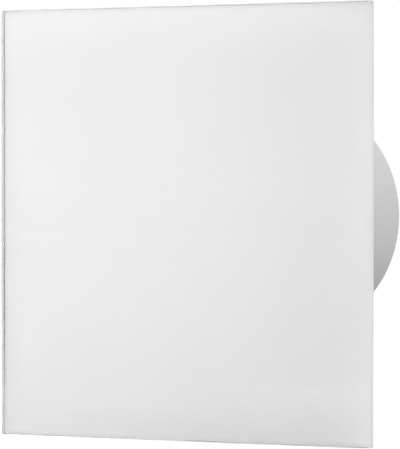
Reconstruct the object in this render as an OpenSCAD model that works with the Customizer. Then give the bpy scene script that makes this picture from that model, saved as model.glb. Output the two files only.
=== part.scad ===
// Through-wall heat recovery unit with a hinged glass front.
// The wall surface is the plane Y = 0, the room is on the -Y side, and the duct axis is the Y axis.

/* [Front panel] */
// Side of the square glass panel
panel_side = 180; // [176:1:190]
// Thickness of the toughened glass
glass_t = 4; // [3:0.5:5]
// Radius of the glass corners
glass_corner_r = 1; // [1:0.5:10]
// Distance from the wall to the face of the glass
panel_stand = 33; // [33:0.5:40]
// How far the panel's centre lies below the duct axis
panel_drop = 2.7; // [2:0.1:4]
// Side of the moulded frame behind the glass
carrier_side = 164; // [160:1:166]

/* [Wall base] */
// Side of the square base
base_side = 140; // [140:1:144]
// Depth of the base from the wall
base_depth = 16; // [16:0.5:18]
// Thickness of the base's back
base_back_t = 2.5; // [2.5:0.1:3]
// Thickness of the base's side walls
base_wall_t = 2; // [1.6:0.1:2.4]

/* [Duct tube] */
// Outer diameter of the duct tube
tube_d = 98; // [98:0.5:99]
// Wall thickness of the duct tube
tube_wall = 2; // [1.8:0.1:2]
// Length of the duct tube behind the wall surface
tube_reach = 65; // [65:1:90]

/* [Insert] */
// Thickness of the regenerator core along the duct
core_len = 28; // [20:1:28]
// Distance between neighbouring channels of the core
core_pitch = 5.2; // [5:0.1:5.4]
// Number of fan blades
blade_count = 7; // [5:1:9]
// Number of guide vanes behind the fan
vane_count = 8; // [5:1:9]

/* [Shutter] */
// Distance between neighbouring slats
slat_pitch = 11.6; // [11.6:0.1:12]
// Height of one slat
slat_h = 11.2; // [10.6:0.1:11.2]

/* [Hidden] */
$fn = 72;
eps = 0.01;

// Depths of the panel's layers, from the room to the wall
glass_y = -panel_stand;
film_y = glass_y + glass_t;
film_t = 0.3;
tape_y = film_y + film_t;
tape_t = 1;
carrier_y = tape_y + tape_t;
carrier_plate_t = 2;
carrier_depth = 3.7;
carrier_back_y = carrier_y + carrier_depth;

// Hinge along the panel's top edge
hinge_y = -20;
hinge_z = 71;
hinge_x = 50;
hinge_pin_r = 1.5;
ear_t = 4;
ear_r = 3.6;
knuckle_r = 3.2;
knuckle_t = 4.2;
knuckle_gap = 0.4;

// Catches that hold the panel shut
catch_x = 62.5;
catch_z = -38;
stud_r = 2.2;
catch_post_r = 4.5;
catch_post_h = 9.5;
clip_stem_r = 3;

// Base
base_front_y = -base_depth;
base_floor_y = -base_back_t;
base_half = base_side / 2;
wall_screw_x = 61;
wall_screw_z = [55, -25];
wall_screw_r = 2.3;
cable_x = 51;
cable_z = -51;
grommet_r = 5.5;
cable_r = 4;

// Duct tube
tube_r = tube_d / 2;
tube_bore_r = tube_r - tube_wall;
tube_front_y = -13;
flange_r = 57;
flange_t = 2;
flange_y = base_floor_y - flange_t;
shoulder_r = tube_r + 0.8;
recess_r = tube_r + 3.5;
recess_t = 0.5;
tube_screw_ring_r = 53;
tube_screw_angles = [45:90:315];
tube_screw_r = 1.25;
tube_screw_len = 3.4;
tube_screw_end_y = -0.8;
seal_r_in = 55.5;
seal_r_out = 60.5;
seal_t = 1;

// Insert, from the room inwards
sleeve_r = 46.5;
sleeve_bore_r = 45;
frame_plate_y = -15;
frame_plate_t = 1.6;
sleeve_y = frame_plate_y + frame_plate_t;
sleeve_end_y = 59.5;
insert_fit_r = 44.9;
slat_y = -7.5;
slat_zs = [for (i = [-2:2]) i * slat_pitch];
crank_r = 4;
journal_r = 1;
crank_pin_r = 0.7;
rail_x = [28, 30];
crank_x = [30.4, 31.4];
link_x = [31.6, 32.6];
filter_y = -1.6;
filter_depth = 4.5;
fan_y = 3.2;
fan_depth = 24;
fan_bore_r = 43;
hub_r = 19;
yoke_outer_r = hub_r - 1.6;
yoke_inner_r = yoke_outer_r - 1;
motor_seat_y = 20;
bearing_tube_r = 4.2;
bearing_r = 3;
shaft_r = 1;
stator_y = [10, 16.4];
stator_teeth = 6;
tooth_w = 2.4;
core_y = 29;
core_r = 43.4;
core_wall = 1.4;
screen_y = 57.8;
grille_y = 61;

// Plug and socket between the insert and the base
plug_z = 55;
pin_xs = [-4.5, -1.5, 1.5, 4.5];
pin_r = 0.6;

// Electronics
board_y = -5;
board_t = 1.6;
board_front_y = board_y - board_t;
cover_front_y = -15.6;
cover_t = 1.2;
board_z = -63.6;
timer_x = -4;
humidity_x = 5;
switch_x = 14;
button_x = 22.5;
sensor_x = 29;
knob_r = 2.6;
sensor_z = -65;
sensor_front_y = -15.2;
trimmer_h = 3.4;
control_front_y = -16.2;
term_x = 38;
term_pitch = 6.6;
term_z = [-69.4, -60.4];
term_ways = 4;
term_screw_z = -65.2;
term_screw_seat_y = -7.6;
board_post_at = [[-63, -66], [-63, -46.8], [32.3, -61]];
small_screw_r = 0.9;
small_screw_end_y = -0.9;
cover_screw_len = 14;
clamp_screw_len = 5;
clamp_post_xs = [cable_x - 10, cable_x + 10];
clamp_y = base_floor_y - 4;
clamp_t = 2;

// Route of the fan leads in X and Z across the base's floor, from the socket round the tube to the board
fan_lead_r = 1.4;
fan_lead_y = base_floor_y - fan_lead_r - 0.1;
fan_lead_route = [
  [-8, 61.5], [-20, 61.5], [-31, 59], [-42, 54], [-52, 45], [-59, 32], [-63, 20], [-64, 5],
  [-62, -7], [-57, -15], [-53.8, -25], [-54, -34], [-54, -45.2]
];
// Route of a supply lead in X and Y, up from the board and across to the terminal block
supply_lead_r = 0.9;
supply_lead_route = [[33, board_front_y], [33, -8.4], [33.6, -9.4], [34.6, -9.7], [term_x, -9.7]];
supply_lead_zs = [-66.8, -63.8];

// A flat outline, drawn in X and Z, given thickness from depth a to depth b
module plate(a, b) {
  translate([0, b, 0]) rotate([90, 0, 0]) linear_extrude(b - a) children();
}

// A side outline, drawn in Y and Z, given width from a to b along X
module across(a, b) {
  translate([a, 0, 0]) rotate([90, 0, 90]) linear_extrude(b - a) children();
}

// A profile of radius and depth turned about the duct axis
module lathe(points) {
  rotate([-90, 0, 0]) rotate_extrude($fn = 144) polygon(points);
}

// A plain ring on the duct axis
module ring(a, b, r_out, r_in) {
  lathe([[r_in, a], [r_out, a], [r_out, b], [r_in, b]]);
}

// A round bar or bore along Y at (x, z)
module bar_y(x, z, a, b, r) {
  translate([x, a, z]) rotate([-90, 0, 0]) cylinder(h = b - a, r = r, $fn = 48);
}

// A round bar or bore along X at (y, z)
module bar_x(y, z, a, b, r) {
  translate([a, y, z]) rotate([0, 90, 0]) cylinder(h = b - a, r = r, $fn = 48);
}

// A rectangle with round corners, made of straight strips and four discs
module soft_rect(w, h, r) {
  square([w - 2 * r, h], center = true);
  square([w, h - 2 * r], center = true);
  for (x = [-1, 1], z = [-1, 1])
    translate([x * (w / 2 - r), z * (h / 2 - r)]) circle(r);
}

// A block given by its corner ranges
module block(x, y, z) {
  translate([x[0], y[0], z[0]]) cube([x[1] - x[0], y[1] - y[0], z[1] - z[0]]);
}

// A pan-head screw whose head sits on the plane at depth y and whose shank runs inwards
module pan_screw(x, z, y, shank_r, shank_len) {
  head_r = 1.9 * shank_r;
  head_h = 1.2 * shank_r;
  slot_w = 0.5 * shank_r;
  difference() {
    union() {
      bar_y(x, z, y - head_h, y, head_r);
      bar_y(x, z, y - eps, y + shank_len, shank_r);
    }
    for (turn = [0, 90])
      translate([x, y - head_h, z]) rotate([0, turn, 0])
        cube([1.3 * head_r, head_h, slot_w], center = true);
  }
}

// Moves the panel's pieces to the panel's centre
module at_panel() {
  translate([0, 0, -panel_drop]) children();
}

// ---- Front panel ----

module glass_panel() {
  color("gainsboro") at_panel() plate(glass_y, film_y)
    soft_rect(panel_side, panel_side, glass_corner_r);
}

module backing_film() {
  film_margin = 0.4;
  film_side = panel_side - 2 * film_margin;
  color("white") at_panel() plate(film_y, tape_y)
    soft_rect(film_side, film_side, glass_corner_r - film_margin);
}

module bonding_tape() {
  tape_w = 9;
  inset = 7;
  run = carrier_side - 2 * inset;
  color("lightgray") at_panel() plate(tape_y, carrier_y) {
    for (s = [-1, 1]) {
      translate([0, s * (run - tape_w) / 2]) square([run, tape_w], center = true);
      translate([s * (run - tape_w) / 2, 0])
        square([tape_w, run - 2 * tape_w - 2], center = true);
    }
  }
}

module knuckle(x) {
  leg_w = 4.4;
  across(x, x + knuckle_t) {
    translate([hinge_y, hinge_z]) circle(knuckle_r);
    translate([carrier_y + carrier_plate_t, hinge_z - leg_w / 2])
      square([hinge_y - carrier_y - carrier_plate_t, leg_w]);
  }
}

module panel_carrier() {
  rim_w = 2;
  rib_w = 1.6;
  corner_r = 6;
  plate_y = carrier_y + carrier_plate_t;
  rib_xs = [-35, 0, 35];
  boss_r = 4.2;
  rib_stop_z = 62;
  color("white") difference() {
    union() {
      at_panel() plate(carrier_y, plate_y) soft_rect(carrier_side, carrier_side, corner_r);
      at_panel() plate(plate_y - eps, carrier_back_y) difference() {
        soft_rect(carrier_side, carrier_side, corner_r);
        soft_rect(carrier_side - 2 * rim_w, carrier_side - 2 * rim_w, corner_r - rim_w);
      }
      for (x = rib_xs)
        block([x - rib_w / 2, x + rib_w / 2], [plate_y - eps, carrier_back_y],
              [-carrier_side / 2 - panel_drop + rim_w - eps, rib_stop_z]);
      for (z = [-rib_stop_z, rib_stop_z])
        block([-carrier_side / 2 + rim_w - eps, carrier_side / 2 - rim_w + eps],
              [plate_y - eps, carrier_back_y], [z - rib_w / 2, z + rib_w / 2]);
      for (x = [-catch_x, catch_x]) bar_y(x, catch_z, plate_y - eps, carrier_back_y, boss_r);
      for (s = [-1, 1]) {
        mid = s * hinge_x;
        knuckle(mid - ear_t / 2 - knuckle_gap - knuckle_t);
        knuckle(mid + ear_t / 2 + knuckle_gap);
      }
    }
    for (s = [-1, 1])
      bar_x(hinge_y, hinge_z, s * hinge_x - 10, s * hinge_x + 10, hinge_pin_r + 0.05);
    for (x = [-catch_x, catch_x]) bar_y(x, catch_z, plate_y, carrier_back_y + eps, stud_r);
  }
}

module catch_studs() {
  tip_y = -9.8;
  shoulder_y = tip_y - 1.6;
  foot_y = carrier_y + carrier_plate_t;
  tip_r = 1.2;
  color("dimgray") for (x = [-catch_x, catch_x])
    translate([x, 0, catch_z]) rotate([-90, 0, 0]) rotate_extrude($fn = 48)
      polygon([[0, foot_y], [stud_r, foot_y], [stud_r, shoulder_y], [tip_r, tip_y], [0, tip_y]]);
}

module panel_bumpers() {
  bumper_r = 3.5;
  bumper_t = 1.2;
  bumper_inset = 9;
  reach = carrier_side / 2 - bumper_inset;
  plate_y = carrier_y + carrier_plate_t;
  color("darkgray") at_panel() for (x = [-1, 1], z = [-1, 1])
    bar_y(x * reach, z * reach, plate_y, plate_y + bumper_t, bumper_r);
}

// ---- Wall base ----

module hinge_ear(x) {
  foot_y = [base_front_y, base_front_y + 9];
  foot_z = base_half - panel_drop;
  across(x - ear_t / 2, x + ear_t / 2) {
    translate([hinge_y, hinge_z]) circle(ear_r);
    polygon([
      [hinge_y - 2, hinge_z - 3], [foot_y[0], foot_z - base_wall_t], [foot_y[1], foot_z - base_wall_t],
      [foot_y[1], foot_z], [hinge_y + 1.6, hinge_z + 3.2]
    ]);
  }
}

module base_housing() {
  corner_r = 8;
  slack = 0.1;
  boss_r = 5;
  boss_h = 3;
  standoff_r = 1.8;
  clamp_post_r = 2.6;
  inner = base_side - 2 * base_wall_t;
  color("whitesmoke") difference() {
    union() {
      difference() {
        at_panel() plate(base_front_y, 0) soft_rect(base_side, base_side, corner_r);
        at_panel() plate(base_front_y - eps, base_floor_y)
          soft_rect(inner, inner, corner_r - base_wall_t);
      }
      for (x = [-wall_screw_x, wall_screw_x], z = wall_screw_z)
        bar_y(x, z, base_floor_y - boss_h, base_floor_y + eps, boss_r);
      for (at = board_post_at) bar_y(at[0], at[1], board_y, base_floor_y + eps, standoff_r);
      for (x = [-catch_x, catch_x])
        bar_y(x, catch_z, base_floor_y - catch_post_h, base_floor_y + eps, catch_post_r);
      for (x = clamp_post_xs) bar_y(x, cable_z, clamp_y, base_floor_y + eps, clamp_post_r);
      for (s = [-1, 1]) hinge_ear(s * hinge_x);
    }
    bar_y(0, 0, -base_depth, eps, shoulder_r + slack);
    bar_y(0, 0, -recess_t, eps, recess_r);
    for (x = [-wall_screw_x, wall_screw_x], z = wall_screw_z)
      bar_y(x, z, -base_depth, eps, wall_screw_r);
    ring(-seal_t, eps, seal_r_out + slack, seal_r_in - slack);
    bar_y(cable_x, cable_z, -base_depth, eps, grommet_r);
    for (a = tube_screw_angles)
      bar_y(tube_screw_ring_r * cos(a), tube_screw_ring_r * sin(a), -base_depth, tube_screw_end_y,
            tube_screw_r);
    for (at = board_post_at)
      bar_y(at[0], at[1], board_y - eps, small_screw_end_y, small_screw_r);
    for (x = clamp_post_xs) bar_y(x, cable_z, clamp_y - eps, small_screw_end_y, small_screw_r);
    for (x = [-catch_x, catch_x])
      bar_y(x, catch_z, base_floor_y - catch_post_h - eps, base_floor_y, clip_stem_r);
    for (s = [-1, 1])
      bar_x(hinge_y, hinge_z, s * hinge_x - ear_t, s * hinge_x + ear_t, hinge_pin_r);
  }
}

module duct_tube() {
  rear_y = tube_reach;
  lip = 0.8;
  screw_hole_r = 1.6;
  color("silver") difference() {
    lathe([
      [tube_bore_r, tube_front_y], [tube_r, tube_front_y], [tube_r, flange_y],
      [flange_r, flange_y], [flange_r, base_floor_y], [shoulder_r, base_floor_y],
      [shoulder_r, -recess_t], [tube_r, -recess_t], [tube_r, rear_y - lip], [tube_r - lip, rear_y],
      [tube_bore_r, rear_y]
    ]);
    for (a = tube_screw_angles)
      bar_y(tube_screw_ring_r * cos(a), tube_screw_ring_r * sin(a), flange_y - 1, base_floor_y + 1,
            screw_hole_r);
  }
}

module tube_screws() {
  color("silver") for (a = tube_screw_angles)
    pan_screw(tube_screw_ring_r * cos(a), tube_screw_ring_r * sin(a), flange_y, tube_screw_r,
              tube_screw_len);
}

module wall_seal() {
  color("dimgray") ring(-seal_t, 0, seal_r_out, seal_r_in);
}

module hinge_pins() {
  half = ear_t / 2 + knuckle_gap + knuckle_t + 0.3;
  color("silver") for (s = [-1, 1])
    bar_x(hinge_y, hinge_z, s * hinge_x - half, s * hinge_x + half, hinge_pin_r);
}

module catch_clips() {
  clip_y = base_floor_y - catch_post_h;
  lip_t = 1.2;
  stem_h = 5;
  grip_r = 2.5;
  slot_half = 0.5;
  color("gold") for (x = [-catch_x, catch_x]) difference() {
    union() {
      bar_y(x, catch_z, clip_y - lip_t, clip_y, catch_post_r);
      bar_y(x, catch_z, clip_y - eps, clip_y + stem_h, clip_stem_r);
    }
    bar_y(x, catch_z, clip_y - lip_t - 1, clip_y + stem_h + 1, grip_r);
    block([x - slot_half, x + slot_half], [clip_y + slot_half, clip_y + stem_h + 1],
          [catch_z - catch_post_r, catch_z + catch_post_r]);
  }
}

module rear_grille() {
  rim_r = tube_bore_r;
  rim_w = 2.2;
  bar = 1.4;
  bar_y0 = grille_y + 1;
  ring_radii = [36.5, 28, 19.5];
  hub_r = 11;
  hub_bore_r = 8;
  hub_bore_t = 2.4;
  spokes = 8;
  color("silver") {
    ring(grille_y, tube_reach, rim_r, rim_r - rim_w);
    for (r = ring_radii) ring(bar_y0, tube_reach - 0.4, r, r - bar);
    difference() {
      union() {
        bar_y(0, 0, grille_y + 0.6, tube_reach, hub_r);
        for (i = [0:spokes - 1]) rotate([0, i * 360 / spokes, 0])
          block([hub_r - 1, rim_r - 1], [bar_y0, tube_reach - 0.6], [-bar / 2, bar / 2]);
      }
      bar_y(0, 0, grille_y, grille_y + hub_bore_t, hub_bore_r);
    }
  }
}

module fan_socket() {
  half_w = 8;
  mouth_y = -12.6;
  mouth_z = [50, 60];
  tail_y = -7;
  tail_z = [58.5, 64];
  contact_r = 0.9;
  color("ivory") difference() {
    union() {
      block([-half_w, half_w], [mouth_y, flange_y], mouth_z);
      block([-half_w, half_w], [tail_y, base_floor_y], tail_z);
    }
    for (x = pin_xs) bar_y(x, plug_z, mouth_y - 1, flange_y - 1, contact_r);
  }
}

// Unit vector from one point to the next
function heading(a, b) = (b - a) / norm(b - a);

// Sideways direction at point i of a route, stretched at a bend so that the lead keeps its width
function sideways(route, i) =
  let (
    last = len(route) - 1,
    before = heading(route[max(i - 1, 0)], route[max(i, 1)]),
    after = heading(route[min(i, last - 1)], route[min(i + 1, last)]),
    mid = heading(-before, after)
  )
  [-mid[1], mid[0]] / (mid * before);

// A round lead swept along a route in the XY plane
module lead(route, r) {
  sides = 10;
  rings = len(route);
  points = [
    for (i = [0:rings - 1], k = [0:sides - 1])
      let (side = r * cos(360 * k / sides) * sideways(route, i))
      [route[i][0] + side[0], route[i][1] + side[1], r * sin(360 * k / sides)]
  ];
  start = [for (k = [0:sides - 1]) k];
  end = [for (k = [0:sides - 1]) rings * sides - 1 - k];
  skin = [
    for (i = [0:rings - 2], k = [0:sides - 1])
      let (a = i * sides + k, b = i * sides + (k + 1) % sides)
      [a, a + sides, b + sides, b]
  ];
  polyhedron(points, concat([start], skin, [end]));
}

module fan_leads() {
  color("gray") translate([0, fan_lead_y, 0]) rotate([90, 0, 0]) lead(fan_lead_route, fan_lead_r);
}

module supply_leads() {
  color("saddlebrown") for (z = supply_lead_zs)
    translate([0, 0, z]) lead(supply_lead_route, supply_lead_r);
}

module board_outline() {
  polygon([
    [-62.9, -68.6], [34, -68.6], [34, -58.8], [-40.6, -58.8], [-49.4, -48.6], [-49.4, -45.4],
    [-65.8, -45.4], [-65.8, -65.9]
  ]);
}

module control_board() {
  color("darkgreen") difference() {
    plate(board_front_y, board_y) board_outline();
    for (at = board_post_at)
      bar_y(at[0], at[1], board_front_y - 1, board_y + 1, small_screw_r + 0.2);
  }
}

module small_screws() {
  color("silver") {
    for (at = board_post_at)
      pan_screw(at[0], at[1], cover_front_y, small_screw_r, cover_screw_len);
    for (x = clamp_post_xs)
      pan_screw(x, cable_z, clamp_y - clamp_t, small_screw_r, clamp_screw_len);
  }
}

module power_module() {
  x = [-62.5, -51.2];
  z = [-64, -49.4];
  front_y = -14.2;
  fin_pitch = 2.4;
  color("dimgray") difference() {
    block(x, [front_y, board_front_y], z);
    for (fin_z = [z[0] + 2:fin_pitch:z[1] - 1])
      block([x[0] - 1, x[0] + 0.6], [front_y - 1, board_front_y - 0.8], [fin_z, fin_z + fin_pitch / 2]);
  }
}

module relay() {
  x = [-47.6, -37.2];
  z = [-67.2, -61];
  front_y = -13.4;
  color("royalblue") block(x, [front_y, board_front_y], z);
}

module capacitors() {
  can_r = 3;
  can_y = -14;
  can_xs = [-31, -23];
  vent = 0.4;
  color("darkslateblue") for (x = can_xs) difference() {
    bar_y(x, board_z, can_y, board_front_y, can_r);
    for (turn = [45, 135]) translate([x, can_y, board_z]) rotate([0, turn, 0])
      cube([1.4 * can_r, vent, vent], center = true);
  }
}

module controller_chip() {
  x = [-16.5, -10.5];
  z = [-67, -62.4];
  leg_w = 0.5;
  leg_len = 0.8;
  leg_pitch = 1.1;
  body_y = [-7.9, board_front_y - 0.3];
  color("black") {
    block(x, body_y, z);
    for (leg_x = [x[0] + leg_w:leg_pitch:x[1] - leg_w], leg_z = [z[0] - leg_len + 0.1, z[1] - 0.1])
      block([leg_x, leg_x + leg_w], [-7.2, board_front_y], [leg_z, leg_z + leg_len]);
  }
}

module trimmer_bodies() {
  half = 3.3;
  bore_r = 1.05;
  y = board_front_y - trimmer_h;
  color("steelblue") for (x = [timer_x, humidity_x]) difference() {
    block([x - half, x + half], [y, board_front_y], [board_z - half, board_z + half]);
    bar_y(x, board_z, y - 1, board_front_y - 0.6, bore_r);
  }
}

module mode_switch_body() {
  y = board_front_y - trimmer_h;
  slot_half = 3.5;
  half_h = 2.4;
  color("black") difference() {
    block([switch_x - 5, switch_x + 4.5], [y, board_front_y], [board_z - half_h, board_z + half_h]);
    block([switch_x - slot_half, switch_x + slot_half], [y - 1, board_front_y - 1],
          [board_z - 1, board_z + 1]);
  }
}

module button_switch() {
  half = 3;
  color("black") block([button_x - half, button_x + half], [-8.4, board_front_y],
                       [board_z - half, board_z + half]);
}

module humidity_sensor() {
  cap_r = 2.4;
  slot = [3.4, 1.2, 0.6];
  color("white") difference() {
    bar_y(sensor_x, sensor_z, sensor_front_y, board_front_y, cap_r);
    for (a = [0, 60, 120]) translate([sensor_x, sensor_front_y, sensor_z]) rotate([0, a, 0])
      cube(slot, center = true);
  }
}

module cover_outline(grow) {
  polygon([
    [-63.2 - grow / 2, -69.2 - grow], [34.6 + grow, -69.2 - grow], [34.6 + grow, -58.2 + grow],
    [-40.4 + grow / 2, -58.2 + grow], [-48.8 + grow, -48.4 + grow / 2], [-48.8 + grow, -44.8 + grow],
    [-66.4 - grow, -44.8 + grow], [-66.4 - grow, -66.1 - grow / 2]
  ]);
}

module electronics_cover() {
  inner_y = cover_front_y + cover_t;
  cut_y = [cover_front_y - 1, inner_y + 1];
  boss_r = 1.7;
  knob_hole_r = 3;
  small_hole_r = 2.6;
  slot_half = [4.2, 1.6];
  vent_x = [-62, -52];
  vent_w = 1.2;
  vent_pitch = 3;
  lead_mouth = [[-55.8, -52.2], [-6.4, base_floor_y + 1], [-46, -43]];
  supply_mouth = [[34, 37], [-11, -8.4], [-68, -62]];
  color("gainsboro") difference() {
    union() {
      difference() {
        plate(cover_front_y, base_floor_y) cover_outline(cover_t);
        plate(inner_y, base_floor_y + 1) cover_outline(0);
      }
      for (at = board_post_at) bar_y(at[0], at[1], cover_front_y + eps, board_front_y, boss_r);
    }
    for (x = [timer_x, humidity_x]) bar_y(x, board_z, cut_y[0], cut_y[1], knob_hole_r);
    block([switch_x - slot_half[0], switch_x + slot_half[0]], cut_y,
          [board_z - slot_half[1], board_z + slot_half[1]]);
    bar_y(button_x, board_z, cut_y[0], cut_y[1], small_hole_r);
    bar_y(sensor_x, sensor_z, cut_y[0], cut_y[1], small_hole_r);
    for (z = [-64.5:vent_pitch:-51]) block(vent_x, cut_y, [z, z + vent_w]);
    for (at = board_post_at)
      bar_y(at[0], at[1], cover_front_y - 1, board_front_y + 1, small_screw_r);
    block(lead_mouth[0], lead_mouth[1], lead_mouth[2]);
    block(supply_mouth[0], supply_mouth[1], supply_mouth[2]);
  }
}

module terminal_block() {
  front_y = -13.4;
  x_end = term_x + term_ways * term_pitch;
  screw_hole_r = 2.2;
  entry_half = 1.9;
  groove_half = 0.3;
  color("ivory") difference() {
    block([term_x, x_end], [front_y, base_floor_y], term_z);
    for (i = [0:term_ways - 1]) {
      x = term_x + (i + 0.5) * term_pitch;
      bar_y(x, term_screw_z, front_y - 1, term_screw_seat_y, screw_hole_r);
      block([x - entry_half, x + entry_half], [term_screw_seat_y + 0.4, base_floor_y - 1.5],
            [term_screw_z - entry_half, term_z[1] + 1]);
    }
    for (i = [1:term_ways - 1])
      block([term_x + i * term_pitch - groove_half, term_x + i * term_pitch + groove_half],
            [front_y - 1, front_y + 1.8], [term_z[0] - 1, term_z[1] + 1]);
  }
}

module terminal_screws() {
  head_y = -11.4;
  screw_r = 1.9;
  slot_half = 0.4;
  color("silver") for (i = [0:term_ways - 1]) {
    x = term_x + (i + 0.5) * term_pitch;
    difference() {
      bar_y(x, term_screw_z, head_y, term_screw_seat_y, screw_r);
      block([x - screw_r - 1, x + screw_r + 1], [head_y - 1, head_y + 0.8],
            [term_screw_z - slot_half, term_screw_z + slot_half]);
    }
  }
}

module cable_clamp() {
  end_r = 3;
  color("whitesmoke") difference() {
    plate(clamp_y - clamp_t, clamp_y) hull() {
      for (x = clamp_post_xs) translate([x, cable_z]) circle(end_r, $fn = 32);
    }
    bar_y(cable_x, cable_z, clamp_y - clamp_t - 1, clamp_y + 1, cable_r + 0.4);
    for (x = clamp_post_xs)
      bar_y(x, cable_z, clamp_y - clamp_t - 1, clamp_y + 1, small_screw_r + 0.2);
  }
}

module cable_grommet() {
  lip_r = 7;
  lip_t = 1.4;
  bevel = 0.6;
  front_y = base_floor_y - lip_t;
  color("dimgray") translate([cable_x, 0, cable_z]) rotate([-90, 0, 0]) rotate_extrude()
    polygon([
      [cable_r, front_y], [lip_r - bevel, front_y], [lip_r, front_y + bevel],
      [lip_r, base_floor_y], [grommet_r, base_floor_y], [grommet_r, 0], [cable_r, 0]
    ]);
}

// ---- Pull-out insert ----

module cartridge_sleeve() {
  color("whitesmoke") ring(sleeve_y, sleeve_end_y, sleeve_r, sleeve_bore_r);
}

module shutter_frame() {
  window_h = 5 * slat_pitch + 0.4;
  window_w = 2 * rail_x[0];
  plate_r = 48.6;
  collar_r = 44.1;
  collar_end_y = -6;
  rail_end_y = slat_y + 4;
  rail_h = 54;
  tab_w = 16;
  tab_top_z = 60;
  slot_half = 0.8;
  tab_pin_z = -40;
  tab_pin_r = 1.5;
  color("whitesmoke") difference() {
    union() {
      plate(frame_plate_y, sleeve_y) {
        circle(plate_r, $fn = 144);
        translate([-tab_w / 2, 0]) square([tab_w, tab_top_z]);
      }
      ring(sleeve_y - eps, collar_end_y, insert_fit_r, collar_r);
      for (s = [-1, 1])
        block(s > 0 ? rail_x : [-rail_x[1], -rail_x[0]], [sleeve_y - eps, rail_end_y],
              [-rail_h / 2, rail_h / 2]);
    }
    block([-window_w / 2, window_w / 2], [frame_plate_y - 1, sleeve_y + 1],
          [-window_h / 2, window_h / 2]);
    for (z = slat_zs) {
      bar_x(slat_y, z, -window_w, window_w, journal_r + 0.05);
      block([-window_w, window_w], [slat_y, rail_end_y + 1], [z - slot_half, z + slot_half]);
    }
    for (x = pin_xs) bar_y(x, plug_z, frame_plate_y - 1, sleeve_y + 1, pin_r);
    bar_y(0, tab_pin_z, frame_plate_y - 1, sleeve_y + 1, tab_pin_r);
  }
}

module filter_frame() {
  bar = 1.6;
  end_y = filter_y + filter_depth;
  rim_r = 41.8;
  color("lightgray") {
    ring(filter_y, end_y, insert_fit_r, rim_r);
    for (turn = [0, 90]) rotate([0, turn, 0])
      block([-rim_r - 1, rim_r + 1], [end_y - 1, end_y], [-bar / 2, bar / 2]);
  }
}

module front_filter() {
  fleece_r = 41.6;
  fleece_y = [filter_y + 0.2, filter_y + 3.3];
  color("lightsteelblue") bar_y(0, 0, fleece_y[0], fleece_y[1], fleece_r);
}

module fan_frame() {
  seat_r = 17;
  rear_y = fan_y + fan_depth;
  vane_t = 1.5;
  vane_half_w = 3.4;
  vane_slant = 30;
  cup_t = 1.5;
  bearing_front_y = 8;
  color("dimgray") difference() {
    union() {
      ring(fan_y, rear_y, insert_fit_r, fan_bore_r);
      bar_y(0, 0, motor_seat_y, rear_y, seat_r);
      bar_y(0, 0, bearing_front_y, motor_seat_y + 1, bearing_tube_r);
      for (i = [0:vane_count - 1]) rotate([0, i * 360 / vane_count, 0])
        translate([0, (motor_seat_y + rear_y) / 2, 0]) rotate([vane_slant, 0, 0])
          block([seat_r - 1, fan_bore_r + 0.6], [-vane_half_w, vane_half_w],
                [-vane_t / 2, vane_t / 2]);
    }
    bar_y(0, 0, motor_seat_y + cup_t, rear_y + 1, seat_r - cup_t);
    bar_y(0, 0, bearing_front_y - 1, rear_y, bearing_r);
  }
}

module motor_stator() {
  yoke_r = 6.2;
  tooth_r = 12.6;
  shoe_t = 1.5;
  shoe_angle = 44;
  color("slategray") {
    ring(stator_y[0], stator_y[1], yoke_r, bearing_tube_r);
    for (i = [0:stator_teeth - 1]) rotate([0, i * 360 / stator_teeth, 0]) {
      block([yoke_r - 0.4, tooth_r], stator_y, [-tooth_w / 2, tooth_w / 2]);
      rotate([-90, 0, 0]) translate([0, 0, stator_y[0]]) rotate([0, 0, -shoe_angle / 2])
        rotate_extrude(angle = shoe_angle, $fn = 144) translate([tooth_r - 0.1, 0])
          square([shoe_t, stator_y[1] - stator_y[0]]);
    }
  }
}

module motor_coils() {
  reach = [7.3, 12];
  wall = 1;
  gap = 0.1;
  inner = [stator_y[0] - 2 * gap, stator_y[1] + 2 * gap];
  color("peru") for (i = [0:stator_teeth - 1]) rotate([0, i * 360 / stator_teeth, 0]) difference() {
    block(reach, [inner[0] - wall + 0.2, inner[1] + wall - 0.2],
          [-tooth_w / 2 - gap - wall, tooth_w / 2 + gap + wall]);
    block([reach[0] - 1, reach[1] + 1], inner, [-tooth_w / 2 - gap, tooth_w / 2 + gap]);
  }
}

module motor_board() {
  y = [18.6, 19.8];
  board_r = 14;
  color("darkgreen") ring(y[0], y[1], board_r, bearing_tube_r + 0.2);
}

module motor_bearings() {
  bearing_w = 2.5;
  slack = 0.03;
  color("silver") for (y = [8.2, motor_seat_y - 1.4])
    ring(y, y + bearing_w, bearing_r, shaft_r + slack);
}

module core_cells() {
  cell_r = 0.5 * (core_pitch - core_wall) / cos(30);
  row_h = core_pitch * cos(30);
  rows = floor(core_r / row_h);
  for (row = [-rows:rows]) {
    shift = abs(row) % 2 == 1 ? core_pitch / 2 : 0;
    for (col = [-rows:rows]) {
      x = col * core_pitch + shift;
      z = row * row_h;
      if (norm([x, z]) + cell_r < core_r - 0.8)
        translate([x, z]) rotate([0, 0, 30]) circle(cell_r, $fn = 6);
    }
  }
}

module regenerator_core() {
  color("antiquewhite") plate(core_y, core_y + core_len) difference() {
    circle(core_r, $fn = 144);
    core_cells();
  }
}

module core_wrap() {
  color("dimgray") ring(core_y, core_y + core_len, insert_fit_r, core_r + 0.05);
}

module insect_screen() {
  mesh_pitch = 9;
  wire = 0.8;
  rim_r = 43;
  reach = 4 * mesh_pitch;
  color("gray") plate(screen_y, screen_y + wire) {
    difference() {
      circle(insert_fit_r, $fn = 144);
      circle(rim_r, $fn = 144);
    }
    intersection() {
      circle(rim_r + 0.5, $fn = 144);
      union() for (u = [-reach:mesh_pitch:reach]) {
        translate([0, u]) square([2 * insert_fit_r, wire], center = true);
        translate([u, 0]) square([wire, 2 * insert_fit_r], center = true);
      }
    }
  }
}

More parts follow.
